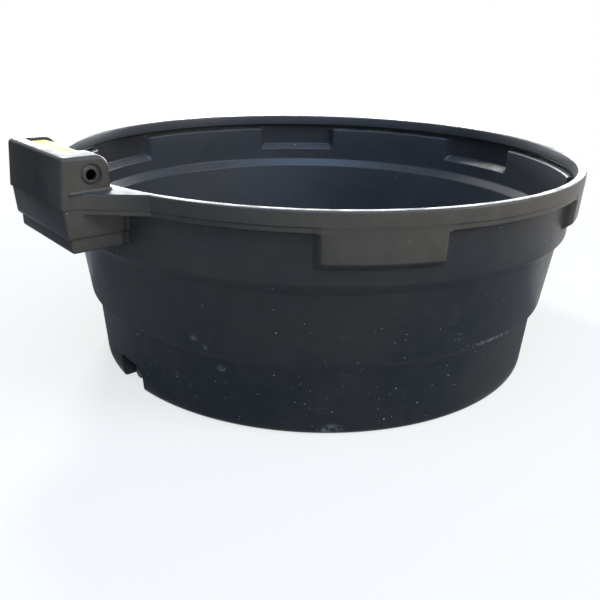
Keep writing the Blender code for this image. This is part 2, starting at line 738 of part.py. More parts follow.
def hinge_pin():
    place = aimed((KNUCKLE_X, 0, KNUCKLE_Z), (0, 1, 0))
    length = SKIN + CLIP_THICKNESS + GAP + PIN_OVERHANG
    low = LID_LOW_Y - length
    high = LID_HIGH_Y + length
    show(cylinder("lid_hinge_pin", HINGE_PIN_RADIUS, low, high, place), STEEL)
    near = LID_LOW_Y - SKIN - GAP
    far = LID_HIGH_Y + SKIN + GAP
    bore = HINGE_PIN_RADIUS + GAP
    show(ring("hinge_clip_near", bore, CLIP_RADIUS, near - CLIP_THICKNESS, near, place), STEEL)
    show(ring("hinge_clip_far", bore, CLIP_RADIUS, far, far + CLIP_THICKNESS, place), STEEL)


# Float valve
VALVE = aimed((INLET_X, 0, INLET_Z), (0, 1, 0))
LEVER_WAY = Vector((0, -math.cos(LEVER_ANGLE), -math.sin(LEVER_ANGLE)))
LEVER_PIVOT = Vector((INLET_X, LEVER_Y, LEVER_Z))


def valve_body():
    tail_end = HOOD_HALF_WIDTH + TAIL_OUTSIDE
    profile = [
        (TAIL_RADIUS, tail_end),
        (TAIL_RADIUS, COLLAR_TOP),
        (COLLAR_RADIUS, COLLAR_TOP),
        (COLLAR_RADIUS, BARREL_TOP),
        (BARREL_RADIUS, BARREL_TOP),
        (BARREL_RADIUS, BARREL_END),
        (BARREL_BORE, BARREL_END),
        (BARREL_BORE, SEAT_TOP),
        (TAIL_BORE, SEAT_TOP),
        (TAIL_BORE, tail_end),
    ]
    body = show(turned("valve_body", profile, ROUND_STEPS, VALVE, closed=True), BRASS)
    slot_half = LEVER_THICKNESS / 2 + 2 * EAR_GAP
    slot_low = LEVER_Y - PISTON_SLOT - FINGER_HALF_WIDTH
    slot_high = LEVER_Y + PISTON_SLOT + FINGER_HALF_WIDTH
    slot_foot = INLET_Z - BARREL_RADIUS - CUT_MARGIN / 8
    slot_line = [(slot_low, slot_foot), (slot_high, slot_foot), (slot_high, INLET_Z), (slot_low, INLET_Z)]
    slot = prism("lever_slot", [slot_line], INLET_X - slot_half, INLET_X + slot_half, ALONG_X)
    ear_top = INLET_Z - (BARREL_RADIUS + BARREL_BORE) / 2
    ear_line = [*arc((LEVER_Y, LEVER_Z), EAR_RADIUS, 180, 360, 2 * HOOD_STEPS),
                (LEVER_Y + EAR_RADIUS, ear_top), (LEVER_Y - EAR_RADIUS, ear_top)]
    inner = LEVER_THICKNESS / 2 + EAR_GAP
    for name, low in (("ear_low", -inner - EAR_THICKNESS), ("ear_high", inner)):
        ear = prism(name, [ear_line], INLET_X + low, INLET_X + low + EAR_THICKNESS, ALONG_X)
        join(body, ear)
    outlet_y = (SEAT_TIP + PISTON_WASHER_TOP) / 2
    outlet = cylinder("outlet_hole", OUTLET_RADIUS, -BARREL_RADIUS - CUT_MARGIN / 8, 0,
                      Matrix.Translation((INLET_X, outlet_y, INLET_Z)))
    pin_bore = cylinder("lever_pin_bore", LEVER_PIN_RADIUS + GAP, -CUT_MARGIN / 2, CUT_MARGIN / 2,
                        aimed(LEVER_PIVOT, (1, 0, 0)))
    return cut(body, slot, outlet, pin_bore)


def valve_fixings():
    bore = TAIL_RADIUS + GAP
    inner_low = COLLAR_TOP + GAP
    washer = ring("valve_inner_washer", bore, WASHER_RADIUS, inner_low, inner_low + WASHER_THICKNESS, VALVE)
    show(washer, RUBBER)
    outer_low = HOOD_HALF_WIDTH + GAP
    washer = ring("valve_outer_washer", bore, WASHER_RADIUS, outer_low, outer_low + WASHER_THICKNESS, VALVE)
    show(washer, RUBBER)
    nut_low = outer_low + WASHER_THICKNESS + GAP
    show(nut("valve_back_nut", BACK_NUT_FLATS, bore, nut_low, nut_low + BACK_NUT_LENGTH, VALVE), BRASS)


def valve_trim():
    seat_high = SEAT_TOP - GAP
    seat_radius = BARREL_BORE - GAP
    profile = [
        (seat_radius, seat_high),
        (seat_radius, seat_high - SEAT_BASE),
        (NOZZLE_RADIUS, seat_high - SEAT_BASE),
        (NOZZLE_RADIUS, SEAT_TIP),
        (NOZZLE_BORE, SEAT_TIP),
        (NOZZLE_BORE, seat_high),
    ]
    show(turned("valve_seat", profile, ROUND_STEPS, VALVE, closed=True), NYLON)
    bore = BARREL_RADIUS + GAP
    cap_low = BARREL_END - GAP - CAP_END
    cap_high = cap_low + CAP_LENGTH
    profile = [
        (CAP_RADIUS, cap_high),
        (CAP_RADIUS, cap_low),
        (CAP_VENT, cap_low),
        (CAP_VENT, cap_low + CAP_END),
        (bore, cap_low + CAP_END),
        (bore, cap_high),
    ]
    show(turned("valve_end_cap", profile, ROUND_STEPS, VALVE, closed=True), BRASS)


def piston():
    low = PISTON_TOP - PISTON_LENGTH
    body = show(cylinder("valve_piston", PISTON_RADIUS, low, PISTON_TOP, VALVE), BRASS)
    centre = LEVER_Y - LEVER_DROP * math.sin(FINGER_TILT)
    slot_half = LEVER_THICKNESS / 2 + EAR_GAP
    foot = INLET_Z - BARREL_RADIUS
    top = INLET_Z + FINGER_TIP_RADIUS + EAR_GAP
    half = PISTON_SLOT / 2
    line = [(centre - half, foot), (centre + half, foot), (centre + half, top), (centre - half, top)]
    cut(body, prism("piston_slot", [line], INLET_X - slot_half, INLET_X + slot_half, ALONG_X))
    face = cylinder("piston_washer", PISTON_RADIUS - EAR_GAP, PISTON_WASHER_TOP - PISTON_WASHER_THICKNESS,
                    PISTON_WASHER_TOP, VALVE)
    carry(pivot("piston_slide", (INLET_X, PISTON_TOP, INLET_Z)), body, show(face, RUBBER))


def lever():
    """Finger, hub and arm in one flat piece, with a round socket for the rod."""
    tilt = math.degrees(FINGER_TILT)
    way = math.degrees(LEVER_ANGLE)
    centre = Vector((LEVER_Y, LEVER_Z))
    tip = centre + LEVER_DROP * Vector((-math.sin(FINGER_TILT), math.cos(FINGER_TILT)))
    arm_length = SOCKET_START + SOCKET_LENGTH / 5
    arm_end = centre - arm_length * Vector((math.cos(LEVER_ANGLE), math.sin(LEVER_ANGLE)))
    finger = prism("lever_finger", [bar(centre, tip, FINGER_HALF_WIDTH, 90 + tilt)],
                   INLET_X - LEVER_THICKNESS / 2, INLET_X + LEVER_THICKNESS / 2, ALONG_X)
    arm = prism("lever_arm", [bar(centre, arm_end, LEVER_HALF_WIDTH, 180 + way)],
                INLET_X - LEVER_THICKNESS / 2, INLET_X + LEVER_THICKNESS / 2, ALONG_X)
    across = aimed(LEVER_PIVOT, (1, 0, 0))
    half = LEVER_THICKNESS / 2
    hub = cylinder("float_lever", HUB_RADIUS, -half, half, across)
    tip_place = aimed((INLET_X, tip.x, tip.y), (1, 0, 0))
    knob = cylinder("finger_tip", FINGER_TIP_RADIUS, -half, half, tip_place)
    along = aimed(LEVER_PIVOT, LEVER_WAY)
    socket = cylinder("rod_socket", SOCKET_RADIUS, SOCKET_START, SOCKET_START + SOCKET_LENGTH, along)
    body = show(hub, BRASS)
    join(body, finger, knob, arm, socket)
    bore = cylinder("rod_bore", ROD_RADIUS + GAP, SOCKET_START + SOCKET_RADIUS, FLOAT_REACH, along)
    pin_bore = cylinder("lever_hub_bore", LEVER_PIN_RADIUS + GAP, -CUT_MARGIN / 2, CUT_MARGIN / 2, across)
    return cut(body, bore, pin_bore)


def bar(start, end, half_width, angle):
    """A straight bar's outline, at an angle in degrees, with its ends a little inside its neighbours."""
    side = Vector((-math.sin(math.radians(angle)), math.cos(math.radians(angle)))) * half_width
    return [start + side, start - side, end - side, end + side]


def float_set():
    along = aimed(LEVER_PIVOT, LEVER_WAY)
    bore = ROD_RADIUS + GAP
    neck_top = FLOAT_REACH - FLOAT_RADIUS - FLOAT_NECK
    rod_low = SOCKET_START + SOCKET_RADIUS + GAP
    rod_high = neck_top + FLOAT_BORE_DEPTH - GAP
    rod = show(cylinder("float_rod", ROD_RADIUS, rod_low, rod_high, along, ROUND_STEPS // 2), STEEL)
    nut_low = SOCKET_START + SOCKET_LENGTH + GAP
    lock = nut("rod_lock_nut", ROD_NUT_FLATS, bore, nut_low, nut_low + ROD_NUT_LENGTH, along)
    nut_high = neck_top - GAP
    stop = nut("float_lock_nut", ROD_NUT_FLATS, bore, nut_high - ROD_NUT_LENGTH, nut_high, along)
    neck_angle = math.degrees(math.asin(FLOAT_NECK_RADIUS / FLOAT_RADIUS))
    ball = arc((0, FLOAT_REACH), FLOAT_RADIUS, 90, neck_angle - 90, 2 * HOOD_STEPS + 2)
    profile = [*ball, (FLOAT_NECK_RADIUS, neck_top), (bore, neck_top), (bore, neck_top + FLOAT_BORE_DEPTH),
               (0, neck_top + FLOAT_BORE_DEPTH)]
    profile[0] = Vector((0, FLOAT_REACH + FLOAT_RADIUS))
    ball = show(turned("float_ball", profile, ROUND_STEPS, along), FLOAT_PLASTIC)
    carry(pivot("lever_pivot", LEVER_PIVOT), lever(), rod, show(lock, STEEL), show(stop, STEEL), ball)


def lever_pin():
    across = aimed(LEVER_PIVOT, (1, 0, 0))
    outer = LEVER_THICKNESS / 2 + EAR_GAP + EAR_THICKNESS
    head = outer + GAP
    length = outer + GAP + CLIP_THICKNESS + PIN_OVERHANG
    profile = [
        (0, head + CLIP_THICKNESS),
        (2 * LEVER_PIN_RADIUS, head + CLIP_THICKNESS),
        (2 * LEVER_PIN_RADIUS, head),
        (LEVER_PIN_RADIUS, head),
        (LEVER_PIN_RADIUS, -length),
        (0, -length),
    ]
    show(turned("lever_pin", profile, ROUND_STEPS, across), STEEL)
    clip = ring("lever_pin_clip", LEVER_PIN_RADIUS + GAP, 2 * LEVER_PIN_RADIUS, -head - CLIP_THICKNESS,
                -head, across)
    show(clip, STEEL)


# Drain, turned about an axis that points out of the notch
DRAIN = aimed((NOTCH_BACK, 0, DRAIN_HEIGHT), (-1, 0, 0))


def drain_fittings():
    flange_low = GAP
    flange_high = GAP + BUSH_FLANGE
    inner_end = flange_high - BUSH_FLANGE - BUSH_LENGTH
    profile = [
        (BUSH_FLANGE_RADIUS, flange_high),
        (BUSH_FLANGE_RADIUS, flange_low),
        (BUSH_RADIUS, flange_low),
        (BUSH_RADIUS, inner_end),
        (BUSH_BORE, inner_end),
        (BUSH_BORE, flange_high),
    ]
    show(turned("drain_bush", profile, ROUND_STEPS, DRAIN, closed=True), NYLON)
    gasket_high = -SKIN - GAP
    bore = BUSH_RADIUS + GAP
    gasket = ring("drain_gasket", bore, GASKET_RADIUS, gasket_high - GASKET_THICKNESS, gasket_high, DRAIN)
    show(gasket, RUBBER)
    nut_high = gasket_high - GASKET_THICKNESS - GAP
    turned_nut = DRAIN @ Matrix.Rotation(math.radians(30), 4, "Z")
    back_nut = nut("drain_back_nut", DRAIN_NUT_FLATS, bore, nut_high - DRAIN_NUT_LENGTH, nut_high, turned_nut)
    show(back_nut, NYLON)


def drain_plug():
    low = BUSH_FLANGE + 2 * GAP
    high = low + PLUG_HEAD
    shaft = BUSH_BORE - 2 * GAP
    groove = shaft - RING_DEPTH + GAP
    ring_high = low - RING_SETBACK
    corners = [
        (0, high, 0),
        (PLUG_HEAD_RADIUS, high, PLUG_ROUND),
        (PLUG_HEAD_RADIUS, low, 0),
        (shaft, low, 0),
        (shaft, ring_high, 0),
        (groove, ring_high, 0),
        (groove, ring_high - RING_WIDTH, 0),
        (shaft, ring_high - RING_WIDTH, 0),
        (shaft, low - PLUG_LENGTH, 0),
        (0, low - PLUG_LENGTH, 0),
    ]
    plug = show(turned("drain_plug", rounded(corners), ROUND_STEPS, DRAIN), BLACK_PLASTIC)
    seal = ring("drain_plug_ring", groove + GAP, BUSH_BORE - GAP, ring_high - RING_WIDTH + GAP,
                ring_high - GAP, DRAIN)
    carry(pivot("plug_slide", (NOTCH_BACK, 0, DRAIN_HEIGHT)), plug, show(seal, RUBBER))


trough_shell()
hinge_pin()
carry(pivot("lid_pivot", (KNUCKLE_X, 0, KNUCKLE_Z)), lid())
valve_body()
valve_fixings()
valve_trim()
piston()
float_set()
lever_pin()
drain_fittings()
drain_plug()
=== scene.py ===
import json
import math

import bpy
from mathutils import Matrix, Vector
from mathutils.kdtree import KDTree


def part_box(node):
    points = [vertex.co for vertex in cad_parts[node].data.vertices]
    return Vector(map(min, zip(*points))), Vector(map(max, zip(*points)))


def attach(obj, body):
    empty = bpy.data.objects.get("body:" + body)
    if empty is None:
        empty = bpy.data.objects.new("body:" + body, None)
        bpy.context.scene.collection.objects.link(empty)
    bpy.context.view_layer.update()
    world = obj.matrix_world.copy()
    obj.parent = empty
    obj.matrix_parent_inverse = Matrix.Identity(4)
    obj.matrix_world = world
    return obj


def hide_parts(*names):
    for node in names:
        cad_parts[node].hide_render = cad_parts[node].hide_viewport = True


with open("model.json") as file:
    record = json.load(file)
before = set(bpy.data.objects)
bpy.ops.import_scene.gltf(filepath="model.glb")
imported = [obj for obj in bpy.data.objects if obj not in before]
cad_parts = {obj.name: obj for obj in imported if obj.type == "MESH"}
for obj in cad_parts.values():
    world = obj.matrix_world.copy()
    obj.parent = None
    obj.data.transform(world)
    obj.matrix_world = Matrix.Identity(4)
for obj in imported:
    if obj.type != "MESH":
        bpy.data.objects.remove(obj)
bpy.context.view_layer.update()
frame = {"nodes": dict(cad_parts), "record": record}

# Sizes read from the frame
shell_low, shell_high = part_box("trough_shell")
lid_low, lid_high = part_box("service_lid")
tail_low, tail_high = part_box("valve_body")
back_nut_low, back_nut_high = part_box("valve_back_nut")
lever_pin_low, lever_pin_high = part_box("lever_pin")
seat_low, seat_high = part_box("valve_seat")
piston_washer_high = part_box("piston_washer")[1]
inner_washer_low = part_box("valve_inner_washer")[0]
bush_low, bush_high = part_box("drain_bush")
RIM_RADIUS = shell_high.y
HOOD_TOP = shell_high.z
HOOD_OUTER_FOOT = shell_low.x
INLET_X = (back_nut_low.x + back_nut_high.x) / 2
INLET_Z = (back_nut_low.z + back_nut_high.z) / 2
LEVER_Y = (lever_pin_low.y + lever_pin_high.y) / 2
LEVER_Z = (lever_pin_low.z + lever_pin_high.z) / 2

# Tub and rim
SKIN = 0.008
HOOD_RISE = 0.091
RIM_HEIGHT = HOOD_TOP - HOOD_RISE
LIP_WIDTH = 0.0265
LIP_ROUND = 0.007
FLANGE_DROP = 0.036
FLANGE_LEAN = 0.0065
BEAD_RADIUS = SKIN / 2
SKIRT_UPPER = 0.040
SKIRT_LOWER = 0.017
CREASE = RIM_HEIGHT - SKIRT_UPPER
SKIRT_FOOT = CREASE - SKIRT_LOWER
SKIRT_SETBACK = 0.004
UNDERSIDE_FALL = 0.008
WALL_RADIUS = RIM_RADIUS - 0.030
TIER_2_RADIUS = RIM_RADIUS - 0.053
TIER_2_FOOT_RADIUS = RIM_RADIUS - 0.0775
TIER_3_RADIUS = RIM_RADIUS - 0.100
BASE_RADIUS = RIM_RADIUS - 0.114
STEP_1_HEIGHT = 0.491
STEP_2_HEIGHT = 0.246
STEP_DROP = 0.029
STEP_ROUND = 0.014
SMALL_ROUND = 0.002
LIP_RADIUS = RIM_RADIUS - LIP_WIDTH
LIP_CENTRE = RIM_RADIUS - LIP_WIDTH / 2

# Rim pads and the pockets behind them
PAD_AZIMUTHS = [354.8, 54.8, 116.2, 238.8, 297.5]
PAD_DROP = 0.135
PAD_SLOPE = 0.022
PAD_ROUND = 0.007
PAD_FACE_SETBACK = 0.0008
PAD_CREST_ANGLE = 10.1
PAD_FOOT_ANGLE = 11.8
FLANK_EASE = 0.2
FLANK_COLUMNS = 14
PLAIN_COLUMN_ANGLE = 1.5

# Valve box
HOOD_FACE = -(RIM_RADIUS - 0.010)
HOOD_OUTER = HOOD_FACE - 0.126
HOOD_HALF_WIDTH = 0.1885
HOOD_FOOT = RIM_HEIGHT - 0.038
HOOD_ROUND = 0.036
HOOD_END_ROUND = 0.011
BODY_SETBACK = 0.004
BODY_DRAFT = 0.006
BODY_FOOT = RIM_HEIGHT - 0.123
BODY_HALF_WIDTH = HOOD_HALF_WIDTH - 0.0025
BODY_ROUND = 0.013
TIER_SETBACK = 0.020
TIER_HALF_WIDTH = HOOD_HALF_WIDTH - 0.0095
TIER_FOOT = RIM_HEIGHT - 0.160
TIER_ROUND = 0.010
FAIRING_REACH = 0.100
FAIRING_START = 0.306
FAIRING_MARGIN = 0.0065
FAIRING_TAPER = 0.030
FILLET = 0.007

# Lid, recess and hinge
LID_LOW_Y = lid_low.y - 0.002
LID_HIGH_Y = lid_high.y + 0.002
LID_SINK = 0.008
LID_THICKNESS = 0.004
LID_DEPTH = LID_SINK + LID_THICKNESS + 0.0003
LID_OUTER_MARGIN = 0.037
LID_OUTER = HOOD_OUTER + LID_OUTER_MARGIN
LID_CLEARANCE = 0.002
LID_GROOVE_WIDTH = 0.009
LID_GROOVE_DEPTH = 0.0018
LID_EDGE = 0.0008
LID_RIB = 0.0022
LID_RIB_DROP = 0.003
LID_RIBS = 4
LID_LEDGE = 0.010
KNUCKLE_RADIUS = 0.0065
KNUCKLE_SWING = 0.005
KNUCKLE_CLEARANCE = 0.001
KNUCKLE_DROP = 0.048
KNUCKLE_WRAP = 200
KNUCKLE_X = HOOD_FACE - LID_SINK - KNUCKLE_RADIUS
KNUCKLE_Z = HOOD_TOP - KNUCKLE_DROP
HINGE_PIN_RADIUS = 0.0025
PIN_HOLE_RADIUS = 0.0028

# Inlet boss
INLET_HOLE_RADIUS = 0.0145
BOSS_FOOT_RADIUS = 0.0255
BOSS_TOP_RADIUS = 0.020
BOSS_GROOVE = 0.0035
BOSS_DEPTH = 0.005
BOSS_BACKING = 0.004
BOSS_EDGE = 0.0015
BOSS_CONE = 30
BOSS_STEPS = 4

# Float valve
GAP = 0.0003
THREAD_PITCH = 0.001814
THREAD_DEPTH = 0.00116
THREAD_FOOT = THREAD_PITCH * 0.45
THREAD_CREST = THREAD_PITCH * 0.08
THREAD_STEPS = 24
TAIL_RADIUS = 0.0132
TAIL_BORE = 0.007
COLLAR_RADIUS = 0.021
COLLAR_LENGTH = 0.006
BARREL_RADIUS = 0.017
BARREL_BORE = 0.0113
BARREL_TOP = inner_washer_low.y - GAP - COLLAR_LENGTH
WASHER_EDGE = 0.0005
BACK_NUT_FLATS = 0.036
NUT_CHAMFER = math.radians(30)
OUTLET_RADIUS = 0.005
TURNED_EDGE = 0.0006
CAP_END = 0.006
CAP_VENT = 0.003

# Float lever
LEVER_SWING = math.radians(17.0)
LEVER_ANGLE = math.radians(45.0)
LEVER_DROP = INLET_Z - LEVER_Z
LEVER_THICKNESS = 0.006
LEVER_HALF_WIDTH = 0.0045
FINGER_HALF_WIDTH = 0.0024
FINGER_TIP_RADIUS = 0.0036
HUB_RADIUS = 0.0068
LEVER_PIN_RADIUS = 0.0025
EAR_THICKNESS = 0.005
EAR_RADIUS = 0.0072
EAR_GAP = 0.0005
PISTON_SLOT = 0.009
SOCKET_START = 0.022
SOCKET_LENGTH = 0.022
SOCKET_RADIUS = 0.0075
ROD_RADIUS = 0.004
ROD_NUT_FLATS = 0.013
ROD_NUT_LENGTH = 0.006
FLOAT_REACH = 0.170
FLOAT_RADIUS = 0.042
FLOAT_NECK_RADIUS = 0.010
FLOAT_NECK = 0.006
FLOAT_BORE_DEPTH = 0.022
FLOAT_SEAM = 0.0012
SEAM_TURN = 75
LEVER_WAY = Vector((0, -math.cos(LEVER_ANGLE), -math.sin(LEVER_ANGLE)))
LEVER_PIVOT = Vector((INLET_X, LEVER_Y, LEVER_Z))

# Drain notch
NOTCH_HALF_WIDTH = 0.067
NOTCH_HEIGHT = 0.088
NOTCH_BACK = -(BASE_RADIUS - 0.044)
NOTCH_ROUND = 0.012
DRAIN_HEIGHT = (bush_low.z + bush_high.z) / 2
DRAIN_HOLE_RADIUS = 0.0213
BUSH_BORE = 0.0155
BUSH_RADIUS = 0.021
BUSH_FLANGE = 0.004
BUSH_LENGTH = 0.022
DRAIN_NUT_FLATS = 0.050
DRAIN_NUT_TURN = math.radians(30)
PLUG_HEAD_RADIUS = 0.024
PLUG_HEAD = 0.018
PLUG_ROUND = 0.009
PLUG_LENGTH = 0.022
PLUG_WAIST = 0.0016
PLUG_WAIST_PLACES = (0.42, 0.30, 0.18)
RING_WIDTH = 0.003
RING_DEPTH = 0.003
RING_SETBACK = 0.008

# Fineness: steps are per rounding, sides are per full turn
MARGIN = 0.050
FLUSH = 0.0002
MERGE = 0.00002
SHELL_MERGE = 0.0001
STRAIGHT = math.radians(85)
SMOOTH_ANGLE = math.radians(35)
SIDE_PARTS = 2.1
ROUND_STEPS = 6
EDGE_STEPS = 3
FINE_STEPS = 12
BORE_SIDES = 24
TIP_SIDES = 32
TURNED_SIDES = 48
BOSS_SIDES = 64
DRAIN_SIDES = 72
LINER_SIDES = 180
WALL_SIDES = 240


# Operators on one piece
def choose(piece):
    bpy.ops.object.select_all(action="DESELECT")
    piece.select_set(True)
    bpy.context.view_layer.objects.active = piece
    return piece


def start_edit(piece):
    choose(piece)
    bpy.ops.object.mode_set(mode="EDIT")


def end_edit(doubles=MERGE, inside=False):
    """Merge what lies on top of each other, face it outwards and leave edit mode."""
    bpy.ops.mesh.select_all(action="SELECT")
    bpy.ops.mesh.remove_doubles(threshold=doubles)
    bpy.ops.mesh.normals_make_consistent(inside=inside)
    bpy.ops.object.mode_set(mode="OBJECT")


def drawn(name, points, closed):
    """A row of edges through the points, extruded from one corner to the next; it stays in edit mode."""
    bpy.ops.object.select_all(action="DESELECT")
    bpy.ops.mesh.primitive_plane_add(size=SKIN)
    piece = bpy.context.object
    piece.name = name
    bpy.ops.object.mode_set(mode="EDIT")
    bpy.ops.mesh.select_all(action="SELECT")
    bpy.ops.mesh.merge(type="CENTER")
    bpy.ops.transform.translate(value=points[0])
    for here, ahead in zip(points, points[1:]):
        bpy.ops.mesh.extrude_region_move(TRANSFORM_OT_translate={"value": ahead - here})
    if closed:
        bpy.ops.mesh.select_all(action="SELECT")
        bpy.ops.mesh.edge_face_add()
    return piece


def spun(name, profile, runs, place=None, closed=False):
    """Turn an outline of (radius, height) points round Z; runs holds each (angle, steps)."""
    points = [Vector((point[0], 0, point[1])) for point in profile]
    if closed:
        points.append(points[0].copy())
    piece = drawn(name, points, False)
    bpy.ops.mesh.select_all(action="SELECT")
    for angle, steps in runs:
        bpy.ops.mesh.spin(steps=steps, angle=-math.radians(angle), center=(0, 0, 0), axis=(0, 0, 1))
    end_edit()
    if place is not None:
        piece.data.transform(place)
    return piece


def slab(name, outline, way):
    """A flat outline extruded along a direction."""
    piece = drawn(name, outline, True)
    bpy.ops.mesh.extrude_region_move(TRANSFORM_OT_translate={"value": way})
    end_edit()
    return piece


def block(name, low, high):
    middle = [(a + b) / 2 for a, b in zip(low, high)]
    size = [b - a for a, b in zip(low, high)]
    bpy.ops.object.select_all(action="DESELECT")
    bpy.ops.mesh.primitive_cube_add(size=1, location=middle, scale=size)
    bpy.ops.object.transform_apply(location=True, rotation=True, scale=True)
    piece = bpy.context.object
    piece.name = name
    return piece


def soften(piece, test, radius, segments=ROUND_STEPS, clamped=True):
    """Round the edges whose two ends pass a test."""
    bpy.context.tool_settings.mesh_select_mode = (False, True, False)
    start_edit(piece)
    bpy.ops.mesh.select_all(action="DESELECT")
    bpy.ops.object.mode_set(mode="OBJECT")
    corners = piece.data.vertices
    for edge in piece.data.edges:
        edge.select = test(corners[edge.vertices[0]].co, corners[edge.vertices[1]].co)
    bpy.ops.object.mode_set(mode="EDIT")
    bpy.ops.mesh.bevel(offset=radius, segments=segments, profile=0.5, affect="EDGES", clamp_overlap=clamped)
    bpy.ops.object.mode_set(mode="OBJECT")
    bpy.context.tool_settings.mesh_select_mode = (True, False, False)
    return piece


def combine(target, tools, operation):
    for tool in tools:
        step = target.modifiers.new(tool.name, "BOOLEAN")
        step.operation = operation
        step.object = tool
        step.solver = "EXACT"
        choose(target)
        bpy.ops.object.modifier_apply(modifier=step.name)
        bpy.data.objects.remove(tool)
    return target


def cut(target, *tools):
    return combine(target, tools, "DIFFERENCE")


def unite(target, *tools):
    return combine(target, tools, "UNION")


def together(name, pieces):
    """Join pieces that don't touch into one object."""
    choose(pieces[0])
    for piece in pieces[1:]:
        piece.select_set(True)
    bpy.ops.object.join()
    pieces[0].name = name
    return pieces[0]


def smooth(piece):
    choose(piece)
    bpy.ops.object.shade_smooth_by_angle(angle=SMOOTH_ANGLE)
    return piece


# Outlines
def arc(centre, radius, start, end, steps):
    """Points along an arc, with its angles in degrees."""
    angles = [math.radians(start + (end - start) * k / steps) for k in range(steps + 1)]
    return [Vector((centre[0] + radius * math.cos(a), centre[1] + radius * math.sin(a))) for a in angles]


def rounded(corners, steps=ROUND_STEPS, closed=False):
    """Round a line of (x, z, radius) corners, each by its own radius.

    A corner on a straight run gets the same number of points, spread along the run.
    """
    line = []
    last = len(corners) - 1
    for i, (x, z, radius) in enumerate(corners):
        here = Vector((x, z))
        if radius == 0 or (not closed and i in (0, last)):
            line.append(here)
            continue
        back = Vector(corners[i - 1][:2]) - here
        ahead = Vector(corners[(i + 1) % len(corners)][:2]) - here
        half = back.angle(ahead) / 2
        if half > STRAIGHT:
            reach = min(radius, back.length / SIDE_PARTS, ahead.length / SIDE_PARTS)
            start = here + back.normalized() * reach
            end = here + ahead.normalized() * reach
            line += [start.lerp(end, k / steps) for k in range(steps + 1)]
            continue
        reach = min(radius / math.tan(half), back.length / SIDE_PARTS, ahead.length / SIDE_PARTS)
        back.normalize()
        ahead.normalize()
        centre = here + (back + ahead).normalized() * reach / math.cos(half)
        start = here + back * reach - centre
        end = here + ahead * reach - centre
        for k in range(steps + 1):
            line.append(centre + start.slerp(end, k / steps).normalized() * start.length)
    return line


def offset(corners, distance):
    """Move a line of (x, z, radius) corners sideways, to the right of its direction."""
    points = [Vector(corner[:2]) for corner in corners]
    sides = []
    for start, end in zip(points, points[1:]):
        way = (end - start).normalized()
        sides.append(Vector((way.y, -way.x)))
    sides = [sides[0], *sides, sides[-1]]
    moved = []
    for corner, point, before, after in zip(corners, points, sides, sides[1:]):
        place = point + (before + after) * distance / (1 + before.dot(after))
        moved.append((place.x, place.y, corner[2]))
    return moved


def in_plan(points, height):
    return [Vector((point[0], point[1], height)) for point in points]


def upright(points, y):
    return [Vector((point[0], y, point[1])) for point in points]


def across(points, x):
    return [Vector((x, point[0], point[1])) for point in points]


def aimed(origin, direction):
    """A placement whose +Z lies along a direction."""
    return Matrix.Translation(origin) @ Vector(direction).to_track_quat("Z", "Y").to_matrix().to_4x4()


# Axes of the turned pieces
HINGE = aimed((KNUCKLE_X, 0, KNUCKLE_Z), (0, 1, 0))
VALVE = aimed((INLET_X, 0, INLET_Z), (0, 1, 0))
PIVOT = aimed(LEVER_PIVOT, (1, 0, 0))
ALONG = aimed(LEVER_PIVOT, LEVER_WAY)
DRAIN = aimed((NOTCH_BACK, 0, DRAIN_HEIGHT), (-1, 0, 0))


# Turned solids
def lathe(name, profile, place, sides=TURNED_SIDES, closed=True):
    return spun(name, profile, [(360, sides)], place, closed)


def turned(name, corners, place, sides=TURNED_SIDES, closed=True, steps=EDGE_STEPS):
    """A turned piece with rounded corners; an open outline starts and ends on the axis."""
    return smooth(lathe(name, rounded(corners, steps, closed), place, sides, closed))


def rod(name, radius, low, high, place, sides=TURNED_SIDES):
    return lathe(name, [(0, high), (radius, high), (radius, low), (0, low)], place, sides, closed=False)


def through(name, radius, place, sides=TURNED_SIDES):
    """A rod that reaches well past a wall on both sides of its place."""
    return rod(name, radius, -MARGIN / 2, MARGIN / 2, place, sides)


# Tub
def pad_face(height):
    """The radius of a pad's face, which leans in towards its foot."""
    share = (CREASE - SKIRT_SETBACK - height) / (PAD_DROP - SKIRT_UPPER - SKIRT_SETBACK)
    return RIM_RADIUS - PAD_FACE_SETBACK - (SKIRT_SETBACK - PAD_FACE_SETBACK) * share


def wall_corners(pad):
    """The outside from the lip to the middle of the base, on the plain wall or through a pad."""
    heights = [CREASE - SKIRT_SETBACK, SKIRT_FOOT, SKIRT_FOOT - UNDERSIDE_FALL, RIM_HEIGHT - PAD_DROP]
    skirt = RIM_RADIUS - SKIRT_SETBACK
    if pad:
        radii = [pad_face(height) for height in heights]
    else:
        radii = [skirt, skirt, WALL_RADIUS, WALL_RADIUS]
    return [
        (LIP_CENTRE, RIM_HEIGHT, 0),
        (RIM_RADIUS, RIM_HEIGHT, LIP_ROUND),
        (RIM_RADIUS, CREASE, SMALL_ROUND),
        *zip(radii, heights, (SMALL_ROUND, SKIRT_SETBACK, PAD_ROUND, PAD_ROUND)),
        (WALL_RADIUS, RIM_HEIGHT - PAD_DROP - PAD_SLOPE, PAD_ROUND),
        (WALL_RADIUS, STEP_1_HEIGHT, STEP_ROUND),
        (TIER_2_RADIUS, STEP_1_HEIGHT - STEP_DROP, STEP_ROUND),
        (TIER_2_FOOT_RADIUS, STEP_2_HEIGHT, STEP_ROUND),
        (TIER_3_RADIUS, STEP_2_HEIGHT - STEP_DROP, STEP_ROUND),
        (BASE_RADIUS, 0, STEP_ROUND),
        (0, 0, 0),
    ]


